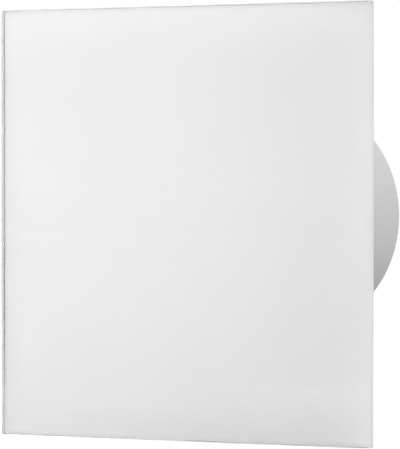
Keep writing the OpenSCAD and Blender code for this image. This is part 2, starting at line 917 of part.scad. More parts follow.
module fan_plug() {
  half_w = 7.4;
  half_h = 4;
  plug_t = 1.4;
  rib_pitch = 1.6;
  rib_w = 0.7;
  front_y = frame_plate_y - plug_t;
  color("black") difference() {
    block([-half_w, half_w], [front_y, frame_plate_y], [plug_z - half_h, plug_z + half_h]);
    for (x = [-half_w + 1:rib_pitch:half_w - 1.4])
      block([x, x + rib_w], [front_y - 1, front_y + 0.4], [plug_z - half_h + 1, plug_z + half_h - 1]);
  }
}

module plug_pins() {
  pin_end_y = -6.4;
  color("gold") for (x = pin_xs) bar_y(x, plug_z, frame_plate_y, pin_end_y, pin_r);
}

module pull_tab() {
  tab_t = 1.2;
  tab_size = [22, 9];
  tab_z = -39;
  slot_size = [14, 1.6];
  slot_z = -36.9;
  rivet_z = -40;
  rivet_r = 1.5;
  color("orangered") {
    plate(frame_plate_y - tab_t, frame_plate_y) difference() {
      translate([0, tab_z]) soft_rect(tab_size[0], tab_size[1], 3);
      translate([0, slot_z]) soft_rect(slot_size[0], slot_size[1], 0.7);
    }
    bar_y(0, rivet_z, frame_plate_y - eps, sleeve_y, rivet_r);
  }
}

// ---- Shutter ----

module slat_blade() {
  tip = 0.3;
  belly = 0.7;
  flat_half = 1.2;
  half = slat_h / 2;
  translate([slat_y, 0]) polygon([
    [-tip, -half], [tip, -half], [belly, -flat_half], [belly, flat_half],
    [tip, half], [-tip, half], [-belly, flat_half], [-belly, -flat_half]
  ]);
}

module slat(i) {
  half_w = rail_x[0] - 0.5;
  crank_end = 1.5;
  color("white") translate([0, 0, slat_zs[i]]) {
    across(-half_w, half_w) slat_blade();
    bar_x(slat_y, 0, -rail_x[1] - 0.2, crank_x[1], journal_r);
    across(crank_x[0], crank_x[1]) {
      translate([slat_y, -crank_end]) square([crank_r, 2 * crank_end]);
      translate([slat_y, 0]) circle(crank_end);
      translate([slat_y + crank_r, 0]) circle(crank_end);
    }
    bar_x(slat_y + crank_r, 0, crank_x[1] - eps, link_x[1] + 0.2, crank_pin_r);
  }
}

module slat_1() { slat(0); }
module slat_2() { slat(1); }
module slat_3() { slat(2); }
module slat_4() { slat(3); }
module slat_5() { slat(4); }

module link_bar() {
  half_w = 1.5;
  y = slat_y + crank_r;
  color("silver") difference() {
    across(link_x[0], link_x[1]) {
      translate([y - half_w, slat_zs[0]]) square([2 * half_w, slat_zs[4] - slat_zs[0]]);
      for (z = [slat_zs[0], slat_zs[4]]) translate([y, z]) circle(half_w);
    }
    for (z = slat_zs) bar_x(y, z, link_x[0] - 1, link_x[1] + 1, crank_pin_r + 0.05);
  }
}

// ---- Fan ----

module fan_blade() {
  blade_t = 1.3;
  blade_y = [6, 17];
  blade_tip_r = 42;
  twist = 34;
  intersection() {
    rotate([-90, 0, 0]) translate([0, 0, blade_y[0]])
      linear_extrude(blade_y[1] - blade_y[0], twist = twist, slices = 6, $fn = 12)
        translate([hub_r - 1, -blade_t / 2]) square([blade_tip_r - hub_r + 1, blade_t]);
    bar_y(0, 0, blade_y[0], blade_y[1], blade_tip_r);
  }
}

module impeller() {
  cap_y = 4.4;
  skirt_y = 18.2;
  wall = 1.6;
  dome = 2;
  boss_r = 3.4;
  boss_end_y = 7.8;
  color("dimgray") difference() {
    union() {
      lathe([
        [0, cap_y], [hub_r - dome, cap_y], [hub_r, cap_y + dome], [hub_r, skirt_y],
        [hub_r - wall, skirt_y], [hub_r - wall, cap_y + wall], [0, cap_y + wall]
      ]);
      bar_y(0, 0, cap_y + wall - eps, boss_end_y, boss_r);
      for (i = [0:blade_count - 1]) rotate([0, i * 360 / blade_count, 0]) fan_blade();
    }
    bar_y(0, 0, cap_y + 1, boss_end_y + 1, shaft_r);
  }
}

module rotor_yoke() {
  yoke_y = [7, 18];
  color("slategray") ring(yoke_y[0], yoke_y[1], yoke_outer_r, yoke_inner_r);
}

module rotor_magnet() {
  magnet_y = [8.6, 17.8];
  magnet_t = 1.8;
  color("black") ring(magnet_y[0], magnet_y[1], yoke_inner_r, yoke_inner_r - magnet_t);
}

module motor_shaft() {
  shaft_y = [5.4, 24];
  groove_y = [22.6, 23];
  groove_depth = 0.25;
  color("silver") difference() {
    bar_y(0, 0, shaft_y[0], shaft_y[1], shaft_r);
    ring(groove_y[0], groove_y[1], 2 * shaft_r, shaft_r - groove_depth);
  }
}

// ---- Controls ----

module setting_knob(x) {
  back_y = board_front_y - trimmer_h - 0.2;
  stem_end_y = board_front_y - 0.8;
  stem_r = 1;
  slot_reach = 1.9;
  slot_half = 0.4;
  slot_y = [control_front_y - 1, control_front_y + 0.9];
  color("gold") difference() {
    union() {
      bar_y(x, board_z, control_front_y, back_y, knob_r);
      bar_y(x, board_z, back_y - eps, stem_end_y, stem_r);
    }
    block([x - slot_reach, x + slot_reach], slot_y, [board_z - slot_half, board_z + slot_half]);
    block([x - slot_half, x + slot_half], slot_y, [board_z, board_z + slot_reach]);
  }
}

module timer_knob() { setting_knob(timer_x); }
module humidity_knob() { setting_knob(humidity_x); }

module mode_slider() {
  back_y = board_front_y - trimmer_h - 0.3;
  grip_half = 1.2;
  stem_half = [1, 0.7];
  stem_end_y = board_front_y - 1.3;
  color("white") {
    block([switch_x - grip_half, switch_x + grip_half], [control_front_y, back_y],
          [board_z - grip_half, board_z + grip_half]);
    block([switch_x - stem_half[0], switch_x + stem_half[0]], [back_y - eps, stem_end_y],
          [board_z - stem_half[1], board_z + stem_half[1]]);
  }
}

module pair_button() {
  front_y = -16.4;
  back_y = -9.4;
  edge = 0.4;
  r = 2.2;
  color("lightgray") translate([button_x, 0, board_z]) rotate([-90, 0, 0]) rotate_extrude($fn = 48)
    polygon([[0, front_y], [r - edge, front_y], [r, front_y + edge], [r, back_y], [0, back_y]]);
}

glass_panel();
backing_film();
bonding_tape();
panel_carrier();
catch_studs();
panel_bumpers();
base_housing();
duct_tube();
tube_screws();
wall_seal();
hinge_pins();
catch_clips();
rear_grille();
fan_socket();
fan_leads();
control_board();
power_module();
relay();
capacitors();
controller_chip();
trimmer_bodies();
mode_switch_body();
button_switch();
humidity_sensor();
electronics_cover();
small_screws();
terminal_block();
terminal_screws();
supply_leads();
cable_clamp();
cable_grommet();
cartridge_sleeve();
shutter_frame();
filter_frame();
front_filter();
fan_frame();
motor_stator();
motor_coils();
motor_board();
motor_bearings();
regenerator_core();
core_wrap();
insect_screen();
fan_plug();
plug_pins();
pull_tab();
slat_1();
slat_2();
slat_3();
slat_4();
slat_5();
link_bar();
impeller();
rotor_yoke();
rotor_magnet();
motor_shaft();
timer_knob();
humidity_knob();
mode_slider();
pair_button();
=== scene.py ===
import math

import bmesh
import bpy
import numpy as np
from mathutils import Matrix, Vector


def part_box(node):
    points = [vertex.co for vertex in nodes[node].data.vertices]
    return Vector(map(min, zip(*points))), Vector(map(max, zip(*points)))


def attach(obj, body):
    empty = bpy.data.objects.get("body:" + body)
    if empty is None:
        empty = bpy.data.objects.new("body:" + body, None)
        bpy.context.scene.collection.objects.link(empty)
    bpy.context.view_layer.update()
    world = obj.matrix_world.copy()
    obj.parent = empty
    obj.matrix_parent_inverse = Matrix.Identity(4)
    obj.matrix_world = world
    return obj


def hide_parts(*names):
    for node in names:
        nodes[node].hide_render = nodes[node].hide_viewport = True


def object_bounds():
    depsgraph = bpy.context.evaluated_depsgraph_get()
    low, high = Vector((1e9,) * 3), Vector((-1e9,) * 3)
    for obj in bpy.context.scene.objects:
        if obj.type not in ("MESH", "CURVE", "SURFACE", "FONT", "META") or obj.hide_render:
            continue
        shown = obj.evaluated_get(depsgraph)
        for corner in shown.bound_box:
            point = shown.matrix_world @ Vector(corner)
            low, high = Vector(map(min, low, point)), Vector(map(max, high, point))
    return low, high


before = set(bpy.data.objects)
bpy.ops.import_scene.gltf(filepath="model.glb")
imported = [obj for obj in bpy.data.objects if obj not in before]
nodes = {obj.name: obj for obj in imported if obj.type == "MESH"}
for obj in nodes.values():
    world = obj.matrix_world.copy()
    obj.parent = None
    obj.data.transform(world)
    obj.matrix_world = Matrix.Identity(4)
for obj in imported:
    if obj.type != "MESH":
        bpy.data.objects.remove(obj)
cad_box = [list(corner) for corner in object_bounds()]
mm = 0.001

# ---- Camera ----
# A long lens stands to the right of the unit, level with its middle, so that the square front keeps
# its shape and the duct tube just shows past its right edge.
panel_low, panel_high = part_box("glass_panel")
panel_side = panel_high.x - panel_low.x
panel_front = Vector(((panel_low.x + panel_high.x) / 2, panel_low.y, (panel_low.z + panel_high.z) / 2))
camera_away = Vector((5.00365, -7.85869, 0.09021))
camera_dip, camera_turn = 0.5676, 32.2011
lens = bpy.data.cameras.new("camera")
lens.lens = 325.88
lens.sensor_width = 36
camera = bpy.data.objects.new("camera", lens)
camera.location = panel_front + camera_away * panel_side
camera.rotation_euler = (math.radians(90 - camera_dip), 0, math.radians(camera_turn))
bpy.context.scene.collection.objects.link(camera)
bpy.context.scene.camera = camera
bpy.context.scene.view_settings.view_transform = "Standard"


# ---- Studio ----
# A pale table top lies just under the unit. A small soft box close to the left lights the front, a
# large one behind on the right lights the tube and a third the left edge, in an even white room.
def put(tree, kind, feeds=None, **settings):
    """Adds a node. feeds maps an input's name or number to a constant or to another node's output."""
    made = tree.nodes.new(kind)
    for name, value in settings.items():
        setattr(made, name, value)
    for name, value in (feeds or {}).items():
        if isinstance(value, bpy.types.NodeSocket):
            tree.links.new(value, made.inputs[name])
        else:
            made.inputs[name].default_value = value
    return made


def maths(tree, operation, *values):
    """The result of one sum on one to three values."""
    return put(tree, "ShaderNodeMath", dict(enumerate(values)), operation=operation).outputs[0]


def tint(tree, share, first, second):
    """first mixed towards second by share, as a colour."""
    colours = {6: first, 7: second}
    colours = {k: v if isinstance(v, bpy.types.NodeSocket) else (*v, 1) for k, v in colours.items()}
    return put(tree, "ShaderNodeMix", {0: share, **colours}, data_type="RGBA").outputs[2]


def paint(tree, shader, share, first, second):
    """Base colour that goes from first towards second by share."""
    tree.links.new(tint(tree, share, first, second), shader.inputs["Base Color"])


def own_point(tree):
    """The shaded point in its piece's own frame."""
    return put(tree, "ShaderNodeTexCoord").outputs["Object"]


def finish_of(name, **sockets):
    """A new material with one Principled shader, whose named sockets are set to constants."""
    material = bpy.data.materials.new(name)
    material.use_nodes = True
    shader = material.node_tree.nodes["Principled BSDF"]
    for socket, value in sockets.items():
        shader.inputs[socket.replace("_", " ")].default_value = value
    return material, material.node_tree, shader


def soft_box(name, place, aim, width, power, mirrored=True, bent=True):
    """A square area light at place that faces aim. One that isn't mirrored leaves no patch in the
    glass, and one that isn't bent sends no light round through the glass's edges."""
    light = bpy.data.lights.new(name, "AREA")
    light.size = width
    light.energy = power
    lamp = bpy.data.objects.new(name, light)
    lamp.location = place
    lamp.rotation_euler = (Vector(aim) - Vector(place)).to_track_quat("-Z", "Y").to_euler()
    lamp.visible_camera = False
    lamp.visible_glossy = mirrored
    lamp.visible_transmission = bent
    bpy.context.scene.collection.objects.link(lamp)


key_light_at = panel_front + Vector((-0.125, -0.465, 0.05))
soft_box("soft_box_left", key_light_at, panel_front, 0.16, 0.93, mirrored=False)
soft_box("soft_box_right", (0.7, 0.5, 0.8), (0, 0.03, 0), 0.5, 7.7, bent=False)
soft_box("soft_box_edge", (-0.6, 0.12, 0.3), (0, 0, 0), 0.2, 1.2)

room = bpy.data.worlds.new("white_room")
room.use_nodes = True
bpy.context.scene.world = room
room_power, backdrop_extra = 0.39, 0.65
seen = put(room.node_tree, "ShaderNodeLightPath").outputs["Is Camera Ray"]
room_light = room.node_tree.nodes["Background"]
room_light.inputs["Color"].default_value = (1, 1, 1, 1)
room_strength = maths(room.node_tree, "MULTIPLY_ADD", seen, backdrop_extra, room_power)
room.node_tree.links.new(room_strength, room_light.inputs["Strength"])

table_mesh = bpy.data.meshes.new("table_top")
table_half, table_gap, table_glow = 6, 0.4 * mm, 0.8
table_z = cad_box[0][2] - table_gap
table_corners = [(x * table_half, y * table_half, table_z) for x, y in ((-1, -1), (1, -1), (1, 1), (-1, 1))]
table_mesh.from_pydata(table_corners, [], [(0, 1, 2, 3)])
table_top = bpy.data.objects.new("table_top", table_mesh)
bpy.context.scene.collection.objects.link(table_top)
table_finish, tree, shader = finish_of("pale_table", Roughness=0.8, Specular_IOR_Level=0.1)
cloudy = put(tree, "ShaderNodeTexNoise", {"Vector": own_point(tree), "Scale": 3.0, "Detail": 3.0})
paint(tree, shader, cloudy.outputs[0], (0.64, 0.64, 0.64), (0.62, 0.62, 0.62))
shader.inputs["Emission Color"].default_value = (1, 1, 1, 1)
seen = put(tree, "ShaderNodeLightPath").outputs["Is Camera Ray"]
tree.links.new(maths(tree, "MULTIPLY", seen, table_glow), shader.inputs["Emission Strength"])
table_mesh.materials.append(table_finish)


# ---- Glass front ----
# A square pane of clear toughened glass, 4 mm thick, with ground and polished arrises all round and
# small round corners. It is bonded by its back to the moulded frame.
def shell(points, loop_rows=False, loop_columns=True):
    """Quads between neighbours in a grid of points (row, column, xyz). A loop joins the last to the
    first. All faces turn over if they would enclose a negative volume."""
    rows, columns = points.shape[:2]
    index = np.arange(rows * columns).reshape(rows, columns)
    if loop_rows:
        index = np.concatenate([index, index[:1]])
    if loop_columns:
        index = np.concatenate([index, index[:, :1]], axis=1)
    quads = np.stack([index[:-1, :-1], index[:-1, 1:], index[1:, 1:], index[1:, :-1]], -1).reshape(-1, 4)
    points = points.reshape(-1, 3)
    a, b, c, d = (points[quads[:, i]] for i in range(4))
    volume = (a * (np.cross(b, c) + np.cross(c, d))).sum()
    return points, quads if volume > 0 else quads[:, ::-1]


def loft(rings):
    """A closed skin over a stack of rings (ring, point, xyz), closed by a point in each end ring."""
    ends = [np.broadcast_to(rings[i].mean(0), rings[i].shape)[None] for i in (0, -1)]
    return shell(np.concatenate([ends[0], rings, ends[1]]))


def piece(name, shells, body, finish, crease=35):
    """One mesh of several shells, merged at seams and poles, smooth up to the crease angle, that rides
    on a body."""
    starts = np.cumsum([0] + [len(points) for points, _ in shells[:-1]])
    mesh = bpy.data.meshes.new(name)
    corners = np.concatenate([points for points, _ in shells])
    faces = [face for start, (_, quads) in zip(starts, shells) for face in (quads + start).tolist()]
    mesh.from_pydata(corners.tolist(), [], faces)
    work = bmesh.new()
    work.from_mesh(mesh)
    bmesh.ops.remove_doubles(work, verts=work.verts, dist=1e-7)
    bmesh.ops.dissolve_degenerate(work, edges=work.edges, dist=1e-8)
    work.to_mesh(mesh)
    work.free()
    mesh.shade_smooth()
    mesh.set_sharp_from_angle(angle=math.radians(crease))
    mesh.materials.append(finish)
    made = bpy.data.objects.new(name, mesh)
    bpy.context.scene.collection.objects.link(made)
    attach(made, body)
    return made


def soft_square(side, radius, y, steps=8):
    """Ring in X and Z at depth y: a square with quarter circles at its corners, around the panel."""
    turn = np.linspace(0, np.pi / 2, steps) + np.arange(4)[:, None] * np.pi / 2
    middle = (side / 2 - radius) * np.sign(np.stack([np.cos(turn.mean(1)), np.sin(turn.mean(1))], -1))
    flat = middle[:, None] + radius * np.stack([np.cos(turn), np.sin(turn)], -1)
    flat = flat.reshape(-1, 2)
    return np.stack([flat[:, 0] + panel_front.x, np.full(len(flat), y), flat[:, 1] + panel_front.z], -1)


def relief(tree, shader, height, depth, strength, normal=None):
    """Raises the surface by height, over the given depth in metres."""
    feeds = {"Strength": strength, "Distance": depth, "Height": height}
    if normal:
        feeds["Normal"] = normal
    bump = put(tree, "ShaderNodeBump", feeds)
    tree.links.new(bump.outputs["Normal"], shader.inputs["Normal"])


arris = 0.45 * mm
glass_corner = 1 * mm
bond = 0.03 * mm
glass_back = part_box("backing_film")[0].y + bond
pane_rings = np.stack([
    soft_square(panel_side - 2 * arris, glass_corner - arris, panel_low.y),
    soft_square(panel_side, glass_corner, panel_low.y + arris),
    soft_square(panel_side, glass_corner, glass_back - arris),
    soft_square(panel_side - 2 * arris, glass_corner - arris, glass_back),
])

clear_glass, tree, shader = finish_of("clear_glass", Transmission_Weight=1.0, IOR=1.5)
shader.inputs["Base Color"].default_value = (0.985, 0.99, 0.99, 1)
place = own_point(tree)
float_wave = put(tree, "ShaderNodeTexNoise", {"Vector": place, "Scale": 14.0, "Detail": 1.0})
smears = put(tree, "ShaderNodeTexNoise", {"Vector": place, "Scale": 40.0, "Detail": 4.0})
tree.links.new(maths(tree, "MULTIPLY", smears.outputs[0], 0.03), shader.inputs["Roughness"])
relief(tree, shader, float_wave.outputs[0], 0.0005, 0.02)
# Lamps shine straight through the pane on to the lacquer behind it
passing = put(tree, "ShaderNodeBsdfTransparent", {"Color": (0.92, 0.925, 0.925, 1)})
lamp_ray = put(tree, "ShaderNodeLightPath").outputs["Is Shadow Ray"]
skin = put(tree, "ShaderNodeMixShader", {0: lamp_ray, 1: shader.outputs[0], 2: passing.outputs[0]})
tree.links.new(skin.outputs[0], tree.nodes["Material Output"].inputs["Surface"])

glass_pane = piece("glass_pane", [loft(pane_rings)], "front_panel", clear_glass, crease=20)
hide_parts("glass_panel")


# ---- White backing ----
# A layer of white lacquer on the back of the glass. It is sprayed, so it has a faint orange peel and
# a few thin spots, and the clear glass over it gives the panel its depth.
def start_group(name, inputs, outputs):
    """An empty node group. inputs maps a socket's name to its type and value, outputs to its type."""
    group = bpy.data.node_groups.new(name, "ShaderNodeTree")
    for label, (kind, value) in inputs.items():
        socket = group.interface.new_socket(label, in_out="INPUT", socket_type=f"NodeSocket{kind}")
        socket.default_value = value
    for label, kind in outputs.items():
        group.interface.new_socket(label, in_out="OUTPUT", socket_type=f"NodeSocket{kind}")
    return group, group.nodes.new("NodeGroupInput").outputs, group.nodes.new("NodeGroupOutput").inputs


def dress(finish, *names):
    """Gives CAD nodes their finish."""
    for name in names:
        nodes[name].data.materials.clear()
        nodes[name].data.materials.append(finish)


grain_group, given, result = start_group(
    "surface_grain",
    {"Fine": ("Float", 900.0), "Broad": ("Float", 25.0)},
    {"Height": "Float", "Tone": "Float"},
)
place = own_point(grain_group)
fine = put(grain_group, "ShaderNodeTexNoise", {"Vector": place, "Scale": given["Fine"], "Detail": 2.0})
broad = put(grain_group, "ShaderNodeTexNoise", {"Vector": place, "Scale": given["Broad"], "Detail": 4.0})
tone = put(
    grain_group, "ShaderNodeMapRange", {"Value": broad.outputs[0], "From Min": 0.35, "From Max": 0.65}
)
grain_group.links.new(fine.outputs[0], result["Height"])
grain_group.links.new(tone.outputs[0], result["Tone"])


def grained(tree, fine, broad):
    """The surface grain at a fine and a broad scale."""
    return put(tree, "ShaderNodeGroup", {"Fine": fine, "Broad": broad}, node_tree=grain_group)


def roughen(tree, shader, mask, span, least):
    """Roughness that rises from least by span where the mask is 1."""
    tree.links.new(maths(tree, "MULTIPLY_ADD", mask, span, least), shader.inputs["Roughness"])


lacquer, tree, shader = finish_of("white_lacquer", Specular_IOR_Level=0.3)
grain = grained(tree, 500.0, 9.0)
spots = put(tree, "ShaderNodeTexVoronoi", {"Vector": own_point(tree), "Scale": 60.0}, feature="F1")
thin = maths(tree, "LESS_THAN", spots.outputs["Distance"], 0.03)
white = tint(tree, grain.outputs["Tone"], (0.895, 0.891, 0.892), (0.901, 0.897, 0.898))
white = tint(tree, maths(tree, "MULTIPLY", thin, 0.25), white, (0.78, 0.78, 0.78))
# Painted shade: the coat darkens towards its rim, where light leaks out through the glass's edges
rim_width, rim_shade_share = 2.5 * mm, 0.26
film_low, film_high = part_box("backing_film")
film_middle = (film_low + film_high) / 2
film_half = (film_high.x - film_low.x) / 2
from_middle = put(tree, "ShaderNodeSeparateXYZ", {0: own_point(tree)})
aside = maths(tree, "ABSOLUTE", maths(tree, "SUBTRACT", from_middle.outputs["X"], film_middle.x))
above = maths(tree, "ABSOLUTE", maths(tree, "SUBTRACT", from_middle.outputs["Z"], film_middle.z))
rim = put(tree, "ShaderNodeMapRange", {
    "Value": maths(tree, "MAXIMUM", aside, above), "From Min": film_half - rim_width, "From Max": film_half,
})
painted_rim_shade = maths(tree, "MULTIPLY", maths(tree, "POWER", rim.outputs[0], 2.0), rim_shade_share)
# Painted shade mixes the white towards grey near the rim
paint(tree, shader, painted_rim_shade, white, (0.36, 0.36, 0.36))
roughen(tree, shader, grain.outputs["Tone"], 0.1, 0.35)
relief(tree, shader, grain.outputs["Height"], 0.0001, 0.1)
dress(lacquer, "backing_film")


# ---- Bonding tape ----
# Four strips of closed-cell acrylic foam tape hold the glass to the frame. Their cut sides bulge a
# little under the pressure of the bond.
def foam(name, colour, shade, cells, depth):
    """Foam: rounded cells over the surface with painted shade in their hollows, and a soft dull skin."""
    finish, tree, shader = finish_of(name, Specular_IOR_Level=0.2)
    place = own_point(tree)
    cell = put(tree, "ShaderNodeTexVoronoi", {"Vector": place, "Scale": cells}, feature="SMOOTH_F1")
    grain = grained(tree, cells * 1.6, 60.0)
    depths = {"Value": cell.outputs["Distance"], "From Min": 0.1, "From Max": 0.6}
    hollow = put(tree, "ShaderNodeMapRange", depths)
    tone = tint(tree, maths(tree, "MULTIPLY", grain.outputs["Tone"], 0.5), colour, shade)
    # Painted shade: the cells' hollows take the darker colour
    paint(tree, shader, hollow.outputs[0], shade, tone)
    roughen(tree, shader, hollow.outputs[0], 0.2, 0.75)
    height = maths(tree, "ADD", hollow.outputs[0], maths(tree, "MULTIPLY", grain.outputs["Height"], 0.5))
    relief(tree, shader, height, depth, 0.8)
    return finish


tape_low, tape_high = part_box("bonding_tape")
tape_width = 9 * mm
tape_bulge = 0.25 * mm
tape_ease, tape_gap = 0.3 * mm, 0.8 * mm
tape_pressed, tape_end_width = 0.98, 0.97
tape_middle = (tape_low + tape_high) / 2
tape_reach = (tape_high.x - tape_low.x - tape_width) / 2 - tape_bulge


def tape_strip(across, start, end, upright):
    """A strip from start to end whose section is a rectangle with its two short sides swollen as
    parabolas; upright turns it from X to Z."""
    side = np.linspace(-1, 1, 9)
    tape_t = tape_pressed * (tape_high.y - tape_low.y)
    half = np.stack([tape_width / 2 - tape_bulge * side**2, side * tape_t / 2], -1)
    section = np.concatenate([half, -half])
    ends = np.array([start, start + tape_ease, end - tape_ease, end])
    swell = np.array([tape_end_width, 1, 1, tape_end_width])
    u = np.broadcast_to(ends[:, None], (4, len(section)))
    v = across + swell[:, None] * section[None, :, 0]
    y = np.broadcast_to(tape_middle.y + section[None, :, 1], u.shape)
    x, z = (v, u) if upright else (u, v)
    return loft(np.stack([x + tape_middle.x, y, z + tape_middle.z], -1))


tape_long = tape_reach + tape_width / 2
tape_short = tape_reach - tape_width / 2 - tape_gap
tape_strips = [tape_strip(s * tape_reach, -tape_long, tape_long, False) for s in (-1, 1)]
tape_strips += [tape_strip(s * tape_reach, -tape_short, tape_short, True) for s in (-1, 1)]
tape_foam = foam("tape_foam", (0.72, 0.72, 0.72), (0.5, 0.5, 0.51), 2200.0, 0.0002)
foam_tape = piece("foam_tape", tape_strips, "front_panel", tape_foam)
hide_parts("bonding_tape")

# ---- Panel frame ----
# A flat moulded frame of white ABS carries the glass. It has a rim and ribs for stiffness, bosses for
# the catch studs and two pairs of hinge knuckles.
edge_group, given, result = start_group(
    "worn_edge", {"Radius": ("Float", 0.0003)}, {"Normal": "Vector", "Edge": "Float"}
)
rounded = put(edge_group, "ShaderNodeBevel", {"Radius": given["Radius"]}, samples=6)
flat = put(edge_group, "ShaderNodeNewGeometry").outputs["Normal"]
both = {0: rounded.outputs[0], 1: flat}
likeness = put(edge_group, "ShaderNodeVectorMath", both, operation="DOT_PRODUCT")
turned_away = maths(edge_group, "SUBTRACT", 1.0, likeness.outputs["Value"])
edge = put(edge_group, "ShaderNodeMapRange", {"Value": turned_away, "From Min": 0.01, "From Max": 0.25})
edge_group.links.new(rounded.outputs[0], result["Normal"])
edge_group.links.new(edge.outputs[0], result["Edge"])


def worn_edges(tree, radius):
    """The edge wear, on edges rounded by radius."""
    return put(tree, "ShaderNodeGroup", {"Radius": radius}, node_tree=edge_group)


def moulded(name, colour, shade, rough=0.42, texture=1400.0, depth=0.00005, radius=0.0003, edge_tone=1.06):
    """Moulded plastic: a spark-eroded texture, slow changes of tone and gloss from the melt's flow,
    and edges that are rounded and rubbed a little lighter and shinier."""
    finish, tree, shader = finish_of(name, Specular_IOR_Level=0.45)
    grain = grained(tree, texture, 30.0)
    worn = worn_edges(tree, radius)
    body = tint(tree, grain.outputs["Tone"], colour, shade)
    rubbed = tuple(min(1.0, channel * edge_tone) for channel in colour)
    paint(tree, shader, worn.outputs["Edge"], body, rubbed)
    sheen = maths(tree, "MULTIPLY_ADD", grain.outputs["Tone"], 0.08, rough)
    polish = maths(tree, "MULTIPLY", worn.outputs["Edge"], 0.12)
    tree.links.new(maths(tree, "SUBTRACT", sheen, polish), shader.inputs["Roughness"])
    relief(tree, shader, grain.outputs["Height"], depth, 0.5, worn.outputs["Normal"])
    return finish


white_abs = moulded("white_abs", (0.76, 0.76, 0.755), (0.72, 0.72, 0.71))
dress(white_abs, "panel_carrier")


# ---- Catch studs, pins and screws ----
# The studs, hinge pins and screws are zinc-plated steel, cold headed and rolled, with fine turning
# marks and a slightly blue passivated film.
def plated(name, colour, shade, rough, radius=0.00012):
    """Plated or bare metal: a blotchy film over fine tool marks, brighter along its edges."""
    finish, tree, shader = finish_of(name, Metallic=1.0)
    place = own_point(tree)
    turning = {"Vector": place, "Scale": 2500.0, "Detail": 3.0, "Distortion": 0.4}
    marks = put(tree, "ShaderNodeTexNoise", turning)
    film = grained(tree, 1800.0, 220.0)
    worn = worn_edges(tree, radius)
    body = tint(tree, film.outputs["Tone"], colour, shade)
    bright = tuple(min(1.0, channel * 1.12) for channel in colour)
    paint(tree, shader, worn.outputs["Edge"], body, bright)
    roughen(tree, shader, marks.outputs[0], 0.2, rough - 0.1)
    relief(tree, shader, marks.outputs[0], 0.00003, 0.25, worn.outputs["Normal"])
    return finish


zinc = plated("zinc_plate", (0.66, 0.67, 0.69), (0.58, 0.6, 0.62), 0.32)
dress(zinc, "catch_studs", "hinge_pins", "tube_screws", "small_screws", "terminal_screws", "link_bar")
bearing_steel = plated("bearing_steel", (0.7, 0.7, 0.7), (0.6, 0.6, 0.61), 0.2)
dress(bearing_steel, "motor_bearings", "motor_shaft")


# ---- Panel bumpers ----
# Four self-adhesive domes of soft silicone sit near the corners of the panel's frame. They keep the
# panel from rattling on the base's rim.
def turned(profile, x=0.0, z=0.0, sides=96):
    """A profile of (radius, depth) points turned about the line along Y through (x, z)."""
    turn = np.linspace(0, 2 * np.pi, sides, endpoint=False)
    profile = np.asarray(profile)
    points = np.empty((len(profile), sides, 3))
    points[..., 0] = x + profile[:, :1] * np.cos(turn)
    points[..., 1] = profile[:, 1:]
    points[..., 2] = z + profile[:, :1] * np.sin(turn)
    return points


def elastomer(name, colour, shade, rough=0.6):
    """Rubber or silicone: a dull skin with fine bloom."""
    finish, tree, shader = finish_of(name, Specular_IOR_Level=0.35)
    grain = grained(tree, 2400.0, 140.0)
    worn = worn_edges(tree, 0.0003)
    paint(tree, shader, grain.outputs["Tone"], colour, shade)
    roughen(tree, shader, grain.outputs["Height"], 0.25, rough - 0.1)
    relief(tree, shader, grain.outputs["Height"], 0.00004, 0.4, worn.outputs["Normal"])
    return finish


bumper_low, bumper_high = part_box("panel_bumpers")
bumper_r = 3.5 * mm
rise = np.linspace(0, np.pi / 2, 9)
dome_depth = bumper_low.y + (bumper_high.y - bumper_low.y) * np.sin(rise)
dome_profile = np.stack([bumper_r * np.cos(rise), dome_depth], -1)
dome_profile = np.concatenate([[[0, bumper_low.y]], dome_profile])
domes = [
    shell(turned(dome_profile, x, z, 40))
    for x in (bumper_low.x + bumper_r, bumper_high.x - bumper_r)
    for z in (bumper_low.z + bumper_r, bumper_high.z - bumper_r)
]
silicone = elastomer("clear_silicone", (0.62, 0.62, 0.61), (0.52, 0.52, 0.52), 0.35)
silicone_domes = piece("silicone_domes", domes, "front_panel", silicone, crease=60)
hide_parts("panel_bumpers")

# ---- Wall base ----
# A square tray of white ABS, screwed to the wall through four bosses. Its ears carry the panel's
# hinge pins, and its floor takes the tube, the seal and the cable grommet.
tray_abs = moulded(
    "tray_abs", (0.74, 0.74, 0.735), (0.7, 0.7, 0.692), rough=0.46, texture=1100.0, depth=0.00006
)
dress(tray_abs, "base_housing")
dress(plated("spring_brass", (0.78, 0.62, 0.3), (0.66, 0.5, 0.24), 0.3), "catch_clips")

# ---- Duct tube ----
# A short length of light grey rigid PVC duct with a turned-in flange. It is extruded, so fine draw
# lines run along it, and its cut end is chamfered and slightly rough.
def eased(corners, reach, steps=5):
    """A closed outline whose corners are eased by parabolas that start and end `reach` from them."""
    corners = np.asarray(corners, float)
    before = np.roll(corners, 1, 0) - corners
    after = np.roll(corners, -1, 0) - corners
    start = corners + reach * before / np.linalg.norm(before, axis=1, keepdims=True)
    end = corners + reach * after / np.linalg.norm(after, axis=1, keepdims=True)
    s = np.linspace(0, 1, steps)[None, :, None]
    arcs = (1 - s) ** 2 * start[:, None] + 2 * s * (1 - s) * corners[:, None] + s**2 * end[:, None]
    return arcs.reshape(-1, 2)


tube_low, tube_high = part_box("duct_tube")
tube_r = 49 * mm
tube_bore = 47 * mm
flange_r = tube_high.x
flange_front, flange_back = -4.5 * mm, -2.5 * mm
shoulder_r = tube_r + 0.8 * mm
lip = 0.8 * mm
tube_outline = [
    (tube_bore, tube_low.y), (tube_r, tube_low.y), (tube_r, flange_front), (flange_r, flange_front),
    (flange_r, flange_back), (shoulder_r, flange_back), (shoulder_r, -0.5 * mm), (tube_r, -0.5 * mm),
    (tube_r, tube_high.y - lip), (tube_r - lip, tube_high.y), (tube_bore, tube_high.y),
]


